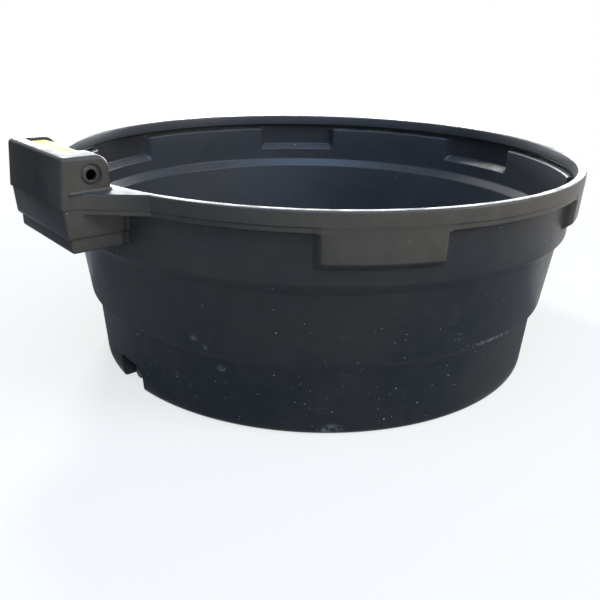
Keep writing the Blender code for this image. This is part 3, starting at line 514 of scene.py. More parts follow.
def section(pad):
    """The whole wall as one line, from the middle of the base up outside, round the rim and down inside."""
    outside = rounded(wall_corners(pad))[::-1]
    bead = (LIP_RADIUS - FLANGE_LEAN + BEAD_RADIUS, RIM_HEIGHT - FLANGE_DROP)
    lip = arc((LIP_RADIUS + LIP_ROUND, RIM_HEIGHT - LIP_ROUND), LIP_ROUND, 90, 180, ROUND_STEPS)
    flange = arc(bead, BEAD_RADIUS, 180, 360, ROUND_STEPS + 2)
    channel = rounded([
        (*flange[-1], 0),
        (LIP_RADIUS + SKIN, RIM_HEIGHT - SKIN, BEAD_RADIUS),
        (LIP_CENTRE, RIM_HEIGHT - SKIN, 0),
    ])[1:-1]
    inside = rounded(offset(wall_corners(pad), SKIN))[1:]
    return [*outside, *lip, *flange, *channel, *inside]


def flank_share(away):
    """How far a column at an angle from a pad's middle stands out, eased at both edges of the flank."""
    along = (PAD_FOOT_ANGLE - away) / (PAD_FOOT_ANGLE - PAD_CREST_ANGLE)
    along = min(1.0, max(0.0, along))
    near = min(along, 1 - along)
    if near < FLANK_EASE:
        rise = near ** 2 / (2 * FLANK_EASE * (1 - FLANK_EASE))
    else:
        rise = (near - FLANK_EASE / 2) / (1 - FLANK_EASE)
    return rise if along < 0.5 else 1 - rise


def tub():
    plain = section(False)
    padded = section(True)
    first = PAD_AZIMUTHS[0]
    stops = []
    for azimuth in PAD_AZIMUTHS:
        centre = (azimuth - first) % 360
        for start, end in ((-PAD_FOOT_ANGLE, -PAD_CREST_ANGLE), (PAD_CREST_ANGLE, PAD_FOOT_ANGLE)):
            stops.append(((centre + start) % 360, (centre + end) % 360))
    runs = []
    here = 0.0
    for start, end in sorted(stops):
        runs.append((start - here, math.ceil((start - here) / PLAIN_COLUMN_ANGLE)))
        runs.append((end - start, FLANK_COLUMNS))
        here = end
    runs.append((360 - here, math.ceil((360 - here) / PLAIN_COLUMN_ANGLE)))
    piece = spun("moulded_trough", plain, runs, Matrix.Rotation(math.radians(first), 4, "Z"))
    places = KDTree(len(plain))
    for index, point in enumerate(plain):
        places.insert((point.x, point.y, 0), index)
    places.balance()
    for vert in piece.data.vertices:
        radius = math.hypot(vert.co.x, vert.co.y)
        if radius < BASE_RADIUS / 2:
            continue
        target = padded[places.find((radius, vert.co.z, 0))[1]]
        azimuth = math.degrees(math.atan2(vert.co.y, vert.co.x))
        away = min(abs((azimuth - pad + 180) % 360 - 180) for pad in PAD_AZIMUTHS)
        share = flank_share(away)
        new_radius = radius + (target.x - radius) * share
        vert.co.x *= new_radius / radius
        vert.co.y *= new_radius / radius
        vert.co.z += (target.y - vert.co.z) * share
    return piece


# Valve box, outside
def on_end(start, end):
    return abs(start.y - end.y) < MERGE and abs(start.y) > HOOD_HALF_WIDTH / 2


def on_outer_top(start, end):
    return min(start.z, end.z) > HOOD_TOP - MERGE and max(start.x, end.x) < HOOD_OUTER + MERGE


def lean(piece, foot, outer_top, outer_foot):
    """Move the foot of a block's outer face, so that the face leans."""
    for vert in piece.data.vertices:
        if vert.co.z < foot + MERGE and vert.co.x < outer_top + MERGE:
            vert.co.x = outer_foot


def hood_solid():
    low = (HOOD_OUTER, -HOOD_HALF_WIDTH, HOOD_FOOT)
    piece = block("hood", low, (HOOD_FACE, HOOD_HALF_WIDTH, HOOD_TOP))
    lean(piece, HOOD_FOOT, HOOD_OUTER, HOOD_OUTER_FOOT)
    high = HOOD_TOP - MERGE
    soften(piece, lambda a, b: min(a.z, b.z) > high and min(a.x, b.x) > HOOD_FACE - MERGE,
           HOOD_ROUND, 2 * FINE_STEPS)
    above_foot = HOOD_FOOT + MERGE
    soften(piece, lambda a, b: on_outer_top(a, b) or (on_end(a, b) and max(a.z, b.z) > above_foot),
           HOOD_END_ROUND, clamped=False)
    return piece


def box_solid(name, outer_foot, outer_top, half_width, low, high, radius):
    inner = -(WALL_RADIUS - MARGIN)
    piece = block(name, (outer_top, -half_width, low), (inner, half_width, high))
    lean(piece, low, outer_top, outer_foot)
    outside = -RIM_RADIUS

    def foot_edge(a, b):
        return max(a.z, b.z) < low + MERGE and min(a.x, b.x) < outside

    def outer_upright(a, b):
        return max(a.x, b.x) < outside and abs(a.y - b.y) < MERGE and abs(a.z - b.z) > radius

    soften(piece, lambda a, b: foot_edge(a, b) or outer_upright(a, b), radius)
    return piece


def fairing_line(setback):
    start_x = -math.sqrt(RIM_RADIUS ** 2 - FAIRING_START ** 2)
    end_x = -(RIM_RADIUS + FAIRING_REACH)
    end_y = HOOD_HALF_WIDTH + FAIRING_MARGIN
    tip_x = end_x + FAIRING_TAPER
    half = HOOD_HALF_WIDTH - FAIRING_MARGIN
    line = [(start_x, FAIRING_START, 0), (tip_x, end_y, 0), (end_x, half, 0),
            (end_x, -half, 0), (tip_x, -end_y, 0), (start_x, -FAIRING_START, 0)]
    return [Vector(corner[:2]) for corner in offset(line, -setback)]


def fairing_outline(setback, radius):
    """The deck's straight runs outside, and an arc of the rim inside."""
    line = fairing_line(setback)
    angle = math.degrees(math.atan2(line[0].y, line[0].x))
    return [*line, *arc((0, 0), radius, -angle, angle - 360, 2 * FINE_STEPS)]


def fairing_solid():
    height = RIM_HEIGHT - FLUSH - CREASE
    upper = slab("fairing", in_plan(fairing_outline(FLUSH, LIP_RADIUS + 2 * SKIN), CREASE), (0, 0, height))
    top = RIM_HEIGHT - 2 * FLUSH

    def outer_edge(a, b):
        return min(a.z, b.z) > top and abs(abs(a.y) - abs(b.y)) > MARGIN

    soften(upper, outer_edge, LIP_ROUND)
    lower_outline = fairing_outline(SKIRT_SETBACK, LIP_RADIUS + 2 * SKIN)
    lower = slab("fairing_foot", in_plan(lower_outline, SKIRT_FOOT), (0, 0, CREASE + SKIN - SKIRT_FOOT))
    foot = SKIRT_FOOT + MERGE
    soften(lower, lambda a, b: max(a.z, b.z) < foot and abs(abs(a.y) - abs(b.y)) > MARGIN, SKIRT_SETBACK)
    return unite(upper, lower)


def fillet(name, corner, first, second, way):
    """A coved strip along a concave corner, between two faces that leave it along first and second."""
    first = Vector(first) * FILLET
    second = Vector(second) * FILLET
    root = Vector(corner)
    sunk = root - (first + second) / 2
    line = [sunk + first, root + first]
    for k in range(1, ROUND_STEPS):
        turn = math.radians(90 * k / ROUND_STEPS)
        line.append(root + first * (1 - math.sin(turn)) + second * (1 - math.cos(turn)))
    line += [root + second, sunk + second, sunk]
    return slab(name, line, way)


def fillets():
    strips = []
    for side in (-1, 1):
        for name, half, low, high in (("body_cove", BODY_HALF_WIDTH, BODY_FOOT + BODY_ROUND / 2, SKIRT_FOOT),
                                      ("tier_cove", TIER_HALF_WIDTH, TIER_FOOT + TIER_ROUND / 2, BODY_FOOT)):
            wall_x = -math.sqrt(WALL_RADIUS ** 2 - half ** 2)
            along = Vector((-wall_x / WALL_RADIUS * half / WALL_RADIUS, side, 0)).normalized()
            strips.append(fillet(name, (wall_x, side * half, low), (-1, 0, 0), along, (0, 0, high - low)))
        start = (HOOD_OUTER + BODY_ROUND, side * HOOD_HALF_WIDTH, RIM_HEIGHT - FLUSH)
        way = (HOOD_FACE - HOOD_OUTER - BODY_ROUND, 0, 0)
        strips.append(fillet("hood_cove", start, (0, side, 0), (0, 0, 1), way))
    return strips


# Valve box, inside
def inlet_place(side, way):
    """Where an inlet's axis meets an end of the box; +Z points out of the box (1) or into it (-1)."""
    return aimed((INLET_X, side * HOOD_HALF_WIDTH, INLET_Z), (0, side * way, 0))


def recess_outline(skin):
    depth = LID_DEPTH + skin
    corner = (HOOD_FACE - HOOD_ROUND, HOOD_TOP - HOOD_ROUND)
    return [
        Vector((LID_OUTER - skin, HOOD_TOP + MARGIN)),
        Vector((LID_OUTER - skin, HOOD_TOP - depth)),
        *arc(corner, HOOD_ROUND - depth, 90, 0, FINE_STEPS),
        Vector((HOOD_FACE - depth, KNUCKLE_Z)),
        Vector((HOOD_FACE + MARGIN, KNUCKLE_Z)),
        Vector((HOOD_FACE + MARGIN, HOOD_TOP + MARGIN)),
    ]


def lid_recess(name, skin):
    outline = upright(recess_outline(skin), LID_LOW_Y - skin)
    return slab(name, outline, (0, LID_HIGH_Y - LID_LOW_Y + 2 * skin, 0))


def hinge_pocket(name, skin):
    back = KNUCKLE_X - KNUCKLE_RADIUS - KNUCKLE_CLEARANCE - skin
    reach = KNUCKLE_RADIUS + KNUCKLE_SWING + skin
    low = (back, LID_LOW_Y - skin + FLUSH, KNUCKLE_Z - reach)
    return block(name, low, (HOOD_FACE + MARGIN, LID_HIGH_Y + skin - FLUSH, KNUCKLE_Z + reach))


def space_inside():
    """The room for the float and valve, open to the tub under the rim."""
    half = HOOD_HALF_WIDTH - SKIN
    low = (HOOD_OUTER + SKIN, -half, SKIRT_FOOT + SKIN / 2)
    hood = block("space_inside", low, (HOOD_FACE - SKIN, half, HOOD_TOP - SKIN))
    high = HOOD_TOP - SKIN - MERGE
    soften(hood, lambda a, b: min(a.z, b.z) > high and min(a.x, b.x) > HOOD_FACE - SKIN - MERGE,
           HOOD_ROUND - SKIN, FINE_STEPS)
    backs = [lid_recess("recess_back", SKIN), hinge_pocket("pocket_back", SKIN)]
    back_radius = BOSS_FOOT_RADIUS + BOSS_GROOVE + SKIN
    for side in (-1, 1):
        backs.append(rod("boss_back", back_radius, -SKIN, SKIN + BOSS_BACKING, inlet_place(side, -1)))
    cut(hood, *backs)
    body_outer = HOOD_OUTER_FOOT + BODY_SETBACK + SKIN
    inner = -(WALL_RADIUS - MARGIN - SKIN)
    body = block("body_inside", (body_outer + BODY_DRAFT, -BODY_HALF_WIDTH + SKIN, BODY_FOOT + SKIN),
                 (inner, BODY_HALF_WIDTH - SKIN, SKIRT_FOOT + SKIN + SKIN / 2))
    tier_outer = HOOD_OUTER_FOOT + TIER_SETBACK + SKIN
    tier = block("tier_inside", (tier_outer, -TIER_HALF_WIDTH + SKIN, TIER_FOOT + SKIN),
                 (inner, TIER_HALF_WIDTH - SKIN, BODY_FOOT + 2 * SKIN))
    channel_radius = LIP_RADIUS + SKIN + SKIRT_SETBACK
    channel = slab("fairing_inside", in_plan(fairing_outline(SKIN, channel_radius), SKIRT_FOOT + SKIN),
                   (0, 0, RIM_HEIGHT - 2 * SKIN - SKIRT_FOOT - FLUSH))
    return unite(hood, body, tier, channel)


def hatch():
    low = (LID_OUTER + LID_LEDGE, LID_LOW_Y + LID_LEDGE, KNUCKLE_Z + KNUCKLE_RADIUS + 2 * KNUCKLE_SWING)
    piece = block("hatch", low, (HOOD_FACE + MARGIN, LID_HIGH_Y - LID_LEDGE, HOOD_TOP + MARGIN))
    return soften(piece, lambda a, b: abs(a.z - b.z) > SKIN and max(a.x, b.x) < HOOD_FACE, SKIN / 2)


def boss_groove(side):
    outer = BOSS_FOOT_RADIUS + BOSS_GROOVE
    bend = SKIRT_SETBACK / 2
    floor = arc((outer - bend, -BOSS_DEPTH + bend), bend, 0, -90, BOSS_STEPS)
    crown = BOSS_TOP_RADIUS - BOSS_EDGE
    shoulder = arc((crown, -BOSS_EDGE), BOSS_EDGE, BOSS_CONE, 90, BOSS_STEPS)
    profile = [(outer, SKIN), *floor, (BOSS_FOOT_RADIUS, -BOSS_DEPTH), *shoulder, (crown, SKIN)]
    return lathe("boss_groove", profile, inlet_place(side, 1), BOSS_SIDES)


# Drain notch
def notch_block(name, skin, low):
    half = NOTCH_HALF_WIDTH + skin
    piece = block(name, (-RIM_RADIUS, -half, low), (NOTCH_BACK + skin, half, NOTCH_HEIGHT + skin))
    top = NOTCH_HEIGHT + skin - MERGE
    soften(piece, lambda a, b: min(a.z, b.z) > top and abs(a.y - b.y) < MERGE, NOTCH_ROUND)
    return piece


# Whole shell
def shell():
    core_line = rounded(offset(wall_corners(False), SKIN / 2))[2:]
    core_top = Vector((0, STEP_2_HEIGHT))
    low_line = [point for point in core_line if point.y < STEP_2_HEIGHT]
    core_line = [core_top, Vector((low_line[0].x, core_top.y)), *low_line]
    core = spun("liner_limit", core_line, [(360, LINER_SIDES)])
    liner = combine(notch_block("notch_liner", SKIN, SKIN / 2), [core], "INTERSECT")
    hood = hood_solid()
    cut(hood, lid_recess("recess", 0), hinge_pocket("pocket", 0))
    cut(hood, boss_groove(-1), boss_groove(1))
    body_outer = HOOD_OUTER_FOOT + BODY_SETBACK
    body = box_solid("box_body", body_outer + BODY_DRAFT, body_outer, BODY_HALF_WIDTH, BODY_FOOT,
                     HOOD_FOOT + SKIN, BODY_ROUND)
    tier_outer = HOOD_OUTER_FOOT + TIER_SETBACK
    tier = box_solid("box_tier", tier_outer, tier_outer, TIER_HALF_WIDTH, TIER_FOOT, BODY_FOOT + 2 * SKIN,
                     TIER_ROUND)
    limit = rod("wall_limit", WALL_RADIUS - SKIN / 2, TIER_FOOT - MARGIN, CREASE, None, WALL_SIDES)
    lower = cut(unite(body, tier), limit)
    unite(lower, fairing_solid(), hood, *fillets())
    piece = tub()
    unite(piece, together("added", [lower, liner]))
    inside = space_inside()
    holes = [hatch()]
    for side in (-1, 1):
        holes.append(through("inlet_hole", INLET_HOLE_RADIUS, inlet_place(side, -1)))
    pin_start = LID_LOW_Y - SKIN - MARGIN / 4
    pin_end = LID_HIGH_Y + SKIN + MARGIN / 8
    holes.append(rod("pin_hole", PIN_HOLE_RADIUS, pin_start, pin_end, HINGE, BORE_SIDES))
    unite(inside, *holes)
    drain = unite(notch_block("notch", 0, -MARGIN), through("drain_hole", DRAIN_HOLE_RADIUS, DRAIN))
    cut(piece, together("removed", [inside, drain]))
    start_edit(piece)
    end_edit(doubles=SHELL_MERGE)
    return smooth(piece)


# Turned and six-sided pieces
def node_axis(node, way):
    """A turned node's placement at the foot of its axis, its radius and its length."""
    low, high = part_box(node)
    way = Vector(way)
    side = Vector((way.y, way.z, way.x))
    size = high - low
    length = abs(size.dot(way))
    return aimed((low + high) / 2 - way * length / 2, way), abs(size.dot(side)) / 2, length


def turned_ring(name, node, way, bore, edge):
    place, radius, length = node_axis(node, way)
    corners = [(radius, length, edge), (radius, 0, edge), (bore, 0, edge), (bore, length, edge)]
    return turned(name, corners, place)


def turned_rod(name, node, way, edge):
    place, radius, length = node_axis(node, way)
    corners = [(0, length, 0), (radius, length, edge), (radius, 0, edge), (0, 0, 0)]
    return turned(name, corners, place, closed=False)


def nut(name, flats, bore, low, high, place):
    """A hexagon nut with both faces chamfered down to its corners."""
    corner = flats / math.sqrt(3)
    body = slab(name, in_plan(arc((0, 0), corner, 0, 300, 5), low), (0, 0, high - low))
    outside = corner + TURNED_EDGE
    fall = (outside - flats / 2) * math.tan(NUT_CHAMFER)
    line = [(0, high), (flats / 2, high), (outside, high - fall),
            (outside, low + fall), (flats / 2, low), (0, low)]
    combine(body, [lathe("nut_chamfer", line, None, closed=False)], "INTERSECT")
    mouth = bore + TURNED_EDGE
    hole = [(0, high + bore), (mouth, high + bore), (mouth, high), (bore, high - TURNED_EDGE),
            (bore, low + TURNED_EDGE), (mouth, low), (mouth, low - bore), (0, low - bore)]
    cut(body, lathe("nut_hole", hole, None, closed=False))
    body.data.transform(place)
    return smooth(body)


# Lid
def lid_line():
    """The cover's outline from its outer edge, over the hood's round and into the hinge knuckle."""
    top = HOOD_TOP - LID_SINK
    left = LID_OUTER + LID_CLEARANCE
    groove = left + LID_GROOVE_WIDTH / 2
    centre = (HOOD_FACE - HOOD_ROUND, HOOD_TOP - HOOD_ROUND)
    outer = HOOD_ROUND - LID_SINK
    edge = rounded([
        (left + LID_THICKNESS, top - LID_THICKNESS, 0),
        (left, top - LID_THICKNESS, LID_EDGE),
        (left, top, LID_EDGE),
        (groove, top, LID_EDGE),
        (groove + LID_GROOVE_DEPTH, top - LID_GROOVE_DEPTH, LID_EDGE),
        (groove + LID_GROOVE_WIDTH - LID_GROOVE_DEPTH, top - LID_GROOVE_DEPTH, LID_EDGE),
        (groove + LID_GROOVE_WIDTH, top, LID_EDGE),
        (centre[0], top, 0),
    ], EDGE_STEPS)
    inner_x = HOOD_FACE - LID_SINK - LID_THICKNESS
    return [
        *edge[1:-1],
        *arc(centre, outer, 90, 0, FINE_STEPS),
        *arc((KNUCKLE_X, KNUCKLE_Z), KNUCKLE_RADIUS, 0, -KNUCKLE_WRAP, 2 * FINE_STEPS),
        Vector((inner_x, KNUCKLE_Z + KNUCKLE_RADIUS)),
        *arc(centre, outer - LID_THICKNESS, 0, 90, FINE_STEPS),
    ]


def lid():
    low = LID_LOW_Y + LID_CLEARANCE
    high = LID_HIGH_Y - LID_CLEARANCE
    cover = slab("lid_cover", upright(lid_line(), low), (0, high - low, 0))
    soften(cover, lambda a, b: abs(a.y - b.y) < MERGE, LID_EDGE, EDGE_STEPS)
    under = HOOD_TOP - LID_SINK - LID_THICKNESS
    first = LID_OUTER + LID_LEDGE + LID_CLEARANCE
    last = HOOD_FACE - HOOD_ROUND
    rib_foot = under - LID_RIB_DROP
    ribs = []
    for k in range(LID_RIBS):
        y = low + LID_LEDGE + (high - low - 2 * LID_LEDGE) * (k + 0.5) / LID_RIBS
        rib = block("lid_rib", (first, y - LID_RIB / 2, rib_foot), (last, y + LID_RIB / 2, under + LID_EDGE))
        ribs.append(soften(rib, lambda a, b: max(a.z, b.z) < rib_foot + MERGE, LID_RIB / 3, EDGE_STEPS))
    unite(cover, together("lid_ribs", ribs))
    hole = rod("knuckle_hole", HINGE_PIN_RADIUS + GAP, low - MARGIN, high + MARGIN, HINGE, BORE_SIDES)
    return smooth(cut(cover, hole))


# Float valve
def thread(low, high, place):
    """A ridge that winds up the tail, with its foot sunk in the core."""
    sunk = TAIL_RADIUS - THREAD_DEPTH - GAP
    line = [(sunk, -THREAD_FOOT), (TAIL_RADIUS, -THREAD_CREST),
            (TAIL_RADIUS, THREAD_CREST), (sunk, THREAD_FOOT)]
    middle = low + THREAD_FOOT
    piece = drawn("tail_thread", [Vector((radius, 0, middle + height)) for radius, height in line], True)
    bpy.ops.mesh.delete(type="ONLY_FACE")
    bpy.ops.object.mode_set(mode="OBJECT")
    wind = piece.modifiers.new("Wind", "SCREW")
    wind.screw_offset = THREAD_PITCH
    wind.iterations = int((high - low) / THREAD_PITCH) - 1
    wind.steps = wind.render_steps = THREAD_STEPS
    choose(piece)
    bpy.ops.object.modifier_apply(modifier=wind.name)
    start_edit(piece)
    bpy.ops.mesh.select_all(action="SELECT")
    bpy.ops.mesh.fill_holes(sides=0)
    end_edit()
    piece.data.transform(place)
    return piece


def valve_body():
    tail_end = tail_high.y
    collar_top = BARREL_TOP + COLLAR_LENGTH
    seat_top = seat_high.y + GAP
    threaded = [
        (TAIL_RADIUS - THREAD_DEPTH, tail_end, TURNED_EDGE),
        (TAIL_RADIUS - THREAD_DEPTH, collar_top, 0),
        (COLLAR_RADIUS, collar_top, TURNED_EDGE),
        (COLLAR_RADIUS, BARREL_TOP, TURNED_EDGE),
        (BARREL_RADIUS, BARREL_TOP, 0),
        (BARREL_RADIUS, tail_low.y, TURNED_EDGE),
        (BARREL_BORE, tail_low.y, TURNED_EDGE),
        (BARREL_BORE, seat_top, 0),
        (TAIL_BORE, seat_top, 0),
        (TAIL_BORE, tail_end, TURNED_EDGE),
    ]
    body = lathe("valve_barrel", rounded(threaded, EDGE_STEPS, closed=True), VALVE)
    unite(body, thread(collar_top - THREAD_PITCH, tail_end - TURNED_EDGE, VALVE))
    ear_top = INLET_Z - (BARREL_RADIUS + BARREL_BORE) / 2
    ear_line = [*arc((LEVER_Y, LEVER_Z), EAR_RADIUS, 180, 360, FINE_STEPS),
                Vector((LEVER_Y + EAR_RADIUS, ear_top)), Vector((LEVER_Y - EAR_RADIUS, ear_top))]
    inner = LEVER_THICKNESS / 2 + EAR_GAP
    ears = []
    for low in (-inner - EAR_THICKNESS, inner):
        ear = slab("lever_ear", across(ear_line, INLET_X + low), (EAR_THICKNESS, 0, 0))
        ears.append(soften(ear, lambda a, b: abs(a.x - b.x) < MERGE and min(a.z, b.z) < ear_top - EAR_RADIUS,
                           TURNED_EDGE, EDGE_STEPS))
    unite(body, together("lever_ears", ears))
    slot_half = LEVER_THICKNESS / 2 + 2 * EAR_GAP
    reach = PISTON_SLOT + FINGER_HALF_WIDTH
    slot = block("lever_slot", (INLET_X - slot_half, LEVER_Y - reach, LEVER_Z + EAR_RADIUS),
                 (INLET_X + slot_half, LEVER_Y + reach, INLET_Z))
    outlet_y = (seat_low.y + piston_washer_high.y) / 2
    outlet_place = Matrix.Translation((INLET_X, outlet_y, INLET_Z))
    outlet = rod("outlet", OUTLET_RADIUS, -2 * BARREL_RADIUS, 0, outlet_place)
    bore = through("pin_bore", LEVER_PIN_RADIUS + GAP, PIVOT, BORE_SIDES)
    return smooth(cut(body, slot, outlet, bore))


def valve_cap():
    place, radius, length = node_axis("valve_end_cap", (0, 1, 0))
    inner = BARREL_RADIUS + GAP
    corners = [
        (radius, length, TURNED_EDGE),
        (radius, 0, 2 * TURNED_EDGE),
        (CAP_VENT, 0, TURNED_EDGE),
        (CAP_VENT, CAP_END, 0),
        (inner, CAP_END, 0),
        (inner, length, TURNED_EDGE),
    ]
    return turned("valve_cap", corners, place)


# Float lever
def lever_bar(start, end, half_width):
    """A flat bar between two points, both (y, z)."""
    way = (end - start).normalized()
    side = Vector((-way.y, way.x)) * half_width
    return slab("lever_bar", across([start + side, start - side, end - side, end + side],
                                    INLET_X - LEVER_THICKNESS / 2), (LEVER_THICKNESS, 0, 0))


def float_lever():
    tilt = LEVER_SWING / 2
    centre = Vector((LEVER_Y, LEVER_Z))
    tip = centre + LEVER_DROP * Vector((-math.sin(tilt), math.cos(tilt)))
    arm_end = centre + (SOCKET_START + SOCKET_LENGTH / 5) * Vector((LEVER_WAY.y, LEVER_WAY.z))
    half = LEVER_THICKNESS / 2
    body = rod("lever_casting", HUB_RADIUS, -half, half, PIVOT)
    tip_place = aimed((INLET_X, tip.x, tip.y), (1, 0, 0))
    knob = rod("finger_tip", FINGER_TIP_RADIUS, -half, half, tip_place, TIP_SIDES)
    socket_end = SOCKET_START + SOCKET_LENGTH
    socket_line = rounded([(0, socket_end, 0), (SOCKET_RADIUS, socket_end, TURNED_EDGE),
                           (SOCKET_RADIUS, SOCKET_START, 2 * TURNED_EDGE), (0, SOCKET_START, 0)], EDGE_STEPS)
    socket = lathe("rod_socket", socket_line, ALONG, closed=False)
    finger = lever_bar(centre, tip, FINGER_HALF_WIDTH)
    arm = lever_bar(centre, arm_end, LEVER_HALF_WIDTH)
    unite(body, finger, knob, arm, socket)
    bore = rod("rod_bore", ROD_RADIUS + GAP, SOCKET_START + SOCKET_RADIUS, FLOAT_REACH, ALONG)
    hub_bore = through("hub_bore", LEVER_PIN_RADIUS + GAP, PIVOT, BORE_SIDES)
    return smooth(cut(body, bore, hub_bore))


def float_ball():
    """A moulded ball with its welded seam, and a neck for the rod."""
    neck_top = FLOAT_REACH - FLOAT_RADIUS - FLOAT_NECK
    neck_angle = math.degrees(math.asin(FLOAT_NECK_RADIUS / FLOAT_RADIUS))
    seam_angle = math.degrees(FLOAT_SEAM / FLOAT_RADIUS)
    bore = ROD_RADIUS + GAP
    inner_end = neck_top + FLOAT_BORE_DEPTH
    seam = arc((FLOAT_RADIUS, FLOAT_REACH), FLOAT_SEAM / 2, SEAM_TURN, -SEAM_TURN, EDGE_STEPS + 2)
    neck = rounded([
        (FLOAT_NECK_RADIUS, FLOAT_REACH - FLOAT_RADIUS, 0),
        (FLOAT_NECK_RADIUS, neck_top, 2 * TURNED_EDGE),
        (bore, neck_top, TURNED_EDGE),
        (bore, inner_end, 0),
    ], EDGE_STEPS)
    centre = (0, FLOAT_REACH)
    profile = [*arc(centre, FLOAT_RADIUS, 90, seam_angle, 2 * FINE_STEPS), *seam,
               *arc(centre, FLOAT_RADIUS, -seam_angle, neck_angle - 90, 2 * FINE_STEPS),
               *neck[1:], Vector((0, inner_end))]
    profile[0] = Vector((0, FLOAT_REACH + FLOAT_RADIUS))
    return smooth(lathe("float_shell", profile, ALONG, DRAIN_SIDES, closed=False))


def float_rod():
    low = SOCKET_START + SOCKET_RADIUS + GAP
    high = FLOAT_REACH - FLOAT_RADIUS - FLOAT_NECK + FLOAT_BORE_DEPTH - GAP
    corners = [(0, high, 0), (ROD_RADIUS, high, TURNED_EDGE), (ROD_RADIUS, low, TURNED_EDGE), (0, low, 0)]
    return turned("float_stem", corners, ALONG, closed=False)


def rod_nuts():
    bore = ROD_RADIUS + GAP
    low = SOCKET_START + SOCKET_LENGTH + GAP
    high = FLOAT_REACH - FLOAT_RADIUS - FLOAT_NECK - GAP
    return [nut("socket_nut", ROD_NUT_FLATS, bore, low, low + ROD_NUT_LENGTH, ALONG),
            nut("neck_nut", ROD_NUT_FLATS, bore, high - ROD_NUT_LENGTH, high, ALONG)]


# Drain
def drain_bush():
    flange = GAP + BUSH_FLANGE
    corners = [
        (bush_high.z - DRAIN_HEIGHT, flange, 2 * TURNED_EDGE),
        (bush_high.z - DRAIN_HEIGHT, GAP, 0),
        (BUSH_RADIUS, GAP, 0),
        (BUSH_RADIUS, GAP - BUSH_LENGTH, TURNED_EDGE),
        (BUSH_BORE, GAP - BUSH_LENGTH, TURNED_EDGE),
        (BUSH_BORE, flange, TURNED_EDGE),
    ]
    return turned("drain_fitting", corners, DRAIN, DRAIN_SIDES)


def drain_nut_span():
    """The back nut's reach along the drain's axis, which points out of the notch."""
    low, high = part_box("drain_back_nut")
    return NOTCH_BACK - high.x, NOTCH_BACK - low.x


def drain_plug():
    """The bung: a domed grip with a waist to pull it by, and a grooved shaft."""
    low = BUSH_FLANGE + 2 * GAP
    high = low + PLUG_HEAD
    shaft = BUSH_BORE - 2 * GAP
    groove = shaft - RING_DEPTH + GAP
    ring_high = low - RING_SETBACK
    waist_top, waist, waist_foot = [low + PLUG_HEAD * share for share in PLUG_WAIST_PLACES]
    corners = [
        (0, high, 0),
        (PLUG_HEAD_RADIUS, high, PLUG_ROUND),
        (PLUG_HEAD_RADIUS, waist_top, 2 * TURNED_EDGE),
        (PLUG_HEAD_RADIUS - PLUG_WAIST, waist, TURNED_EDGE),
        (PLUG_HEAD_RADIUS, waist_foot, TURNED_EDGE),
        (PLUG_HEAD_RADIUS, low, TURNED_EDGE),
        (shaft, low, 0),
        (shaft, ring_high, 0),
        (groove, ring_high, 0),
        (groove, ring_high - RING_WIDTH, 0),
        (shaft, ring_high - RING_WIDTH, 0),
        (shaft, low - PLUG_LENGTH, 2 * TURNED_EDGE),
        (0, low - PLUG_LENGTH, 0),
    ]
    return turned("drain_bung", corners, DRAIN, DRAIN_SIDES, closed=False, steps=ROUND_STEPS)


# Shader helpers
class Value:
    """A node's output that reckons like a number, by adding nodes to its tree."""

    def __init__(self, tree, socket):
        self.tree = tree
        self.socket = socket

    def __add__(self, other):
        return maths("ADD", self, other)

    def __radd__(self, other):
        return maths("ADD", other, self)

    def __rsub__(self, other):
        return maths("SUBTRACT", other, self)

    def __mul__(self, other):
        return maths("MULTIPLY", self, other)

    def __truediv__(self, other):
        return maths("DIVIDE", self, other)

    def also(self, output):
        """Another output of the same node."""
        return Value(self.tree, self.socket.node.outputs[output])

    def part(self, axis):
        return put(self.tree, "SeparateXYZ", {0: self}, axis)

    def vector(self, operation, other=(0.0, 0.0, 0.0), output="Vector"):
        return put(self.tree, "VectorMath", {0: self, 1: other}, output, operation=operation)

    def spread(self, low, high, start=0.0, end=1.0):
        """Map one range to another, clamped and eased at both ends."""
        ends = {"Value": self, "From Min": low, "From Max": high, "To Min": start, "To Max": end}
        return put(self.tree, "MapRange", ends, "Result", interpolation_type="SMOOTHSTEP")

    def noise(self, scale, detail=2.0, roughness=0.5):
        grain = {"Vector": self, "Scale": scale, "Detail": detail, "Roughness": roughness}
        return put(self.tree, "TexNoise", grain, "Fac")

    def stretched(self, scale, turn=(0.0, 0.0, 0.0)):
        return put(self.tree, "Mapping", {"Vector": self, "Scale": scale, "Rotation": turn})


def fill_in(tree, node, inputs):
    """Give a node its inputs, each of them another node's output or a plain value."""
    for key, value in inputs.items():
        if isinstance(value, Value):
            tree.links.new(value.socket, node.inputs[key])
        else:
            node.inputs[key].default_value = value


def put(tree, kind, inputs=(), output=0, **settings):
    """Add a node and give back one of its outputs."""
    node = tree.nodes.new("ShaderNode" + kind)
    for name, value in settings.items():
        setattr(node, name, value)
    fill_in(tree, node, dict(inputs))
    return Value(tree, node.outputs[output])


def maths(operation, first, second=0.0):
    tree = first.tree if isinstance(first, Value) else second.tree
    return put(tree, "Math", {0: first, 1: second}, operation=operation)


def mixed(share, first, second):
    """Blend two colours."""
    first, second = [(*colour, 1.0) if isinstance(colour, tuple) else colour for colour in (first, second)]
    return put(share.tree, "Mix", {0: share, 6: first, 7: second}, 2, data_type="RGBA")


def bumped(height):
    return put(height.tree, "Bump", {"Height": height, "Strength": 1.0, "Distance": 1.0}, "Normal")


def object_place(tree):
    return put(tree, "TexCoord", output="Object")


def facing(tree):
    return put(tree, "TexCoord", output="Normal")


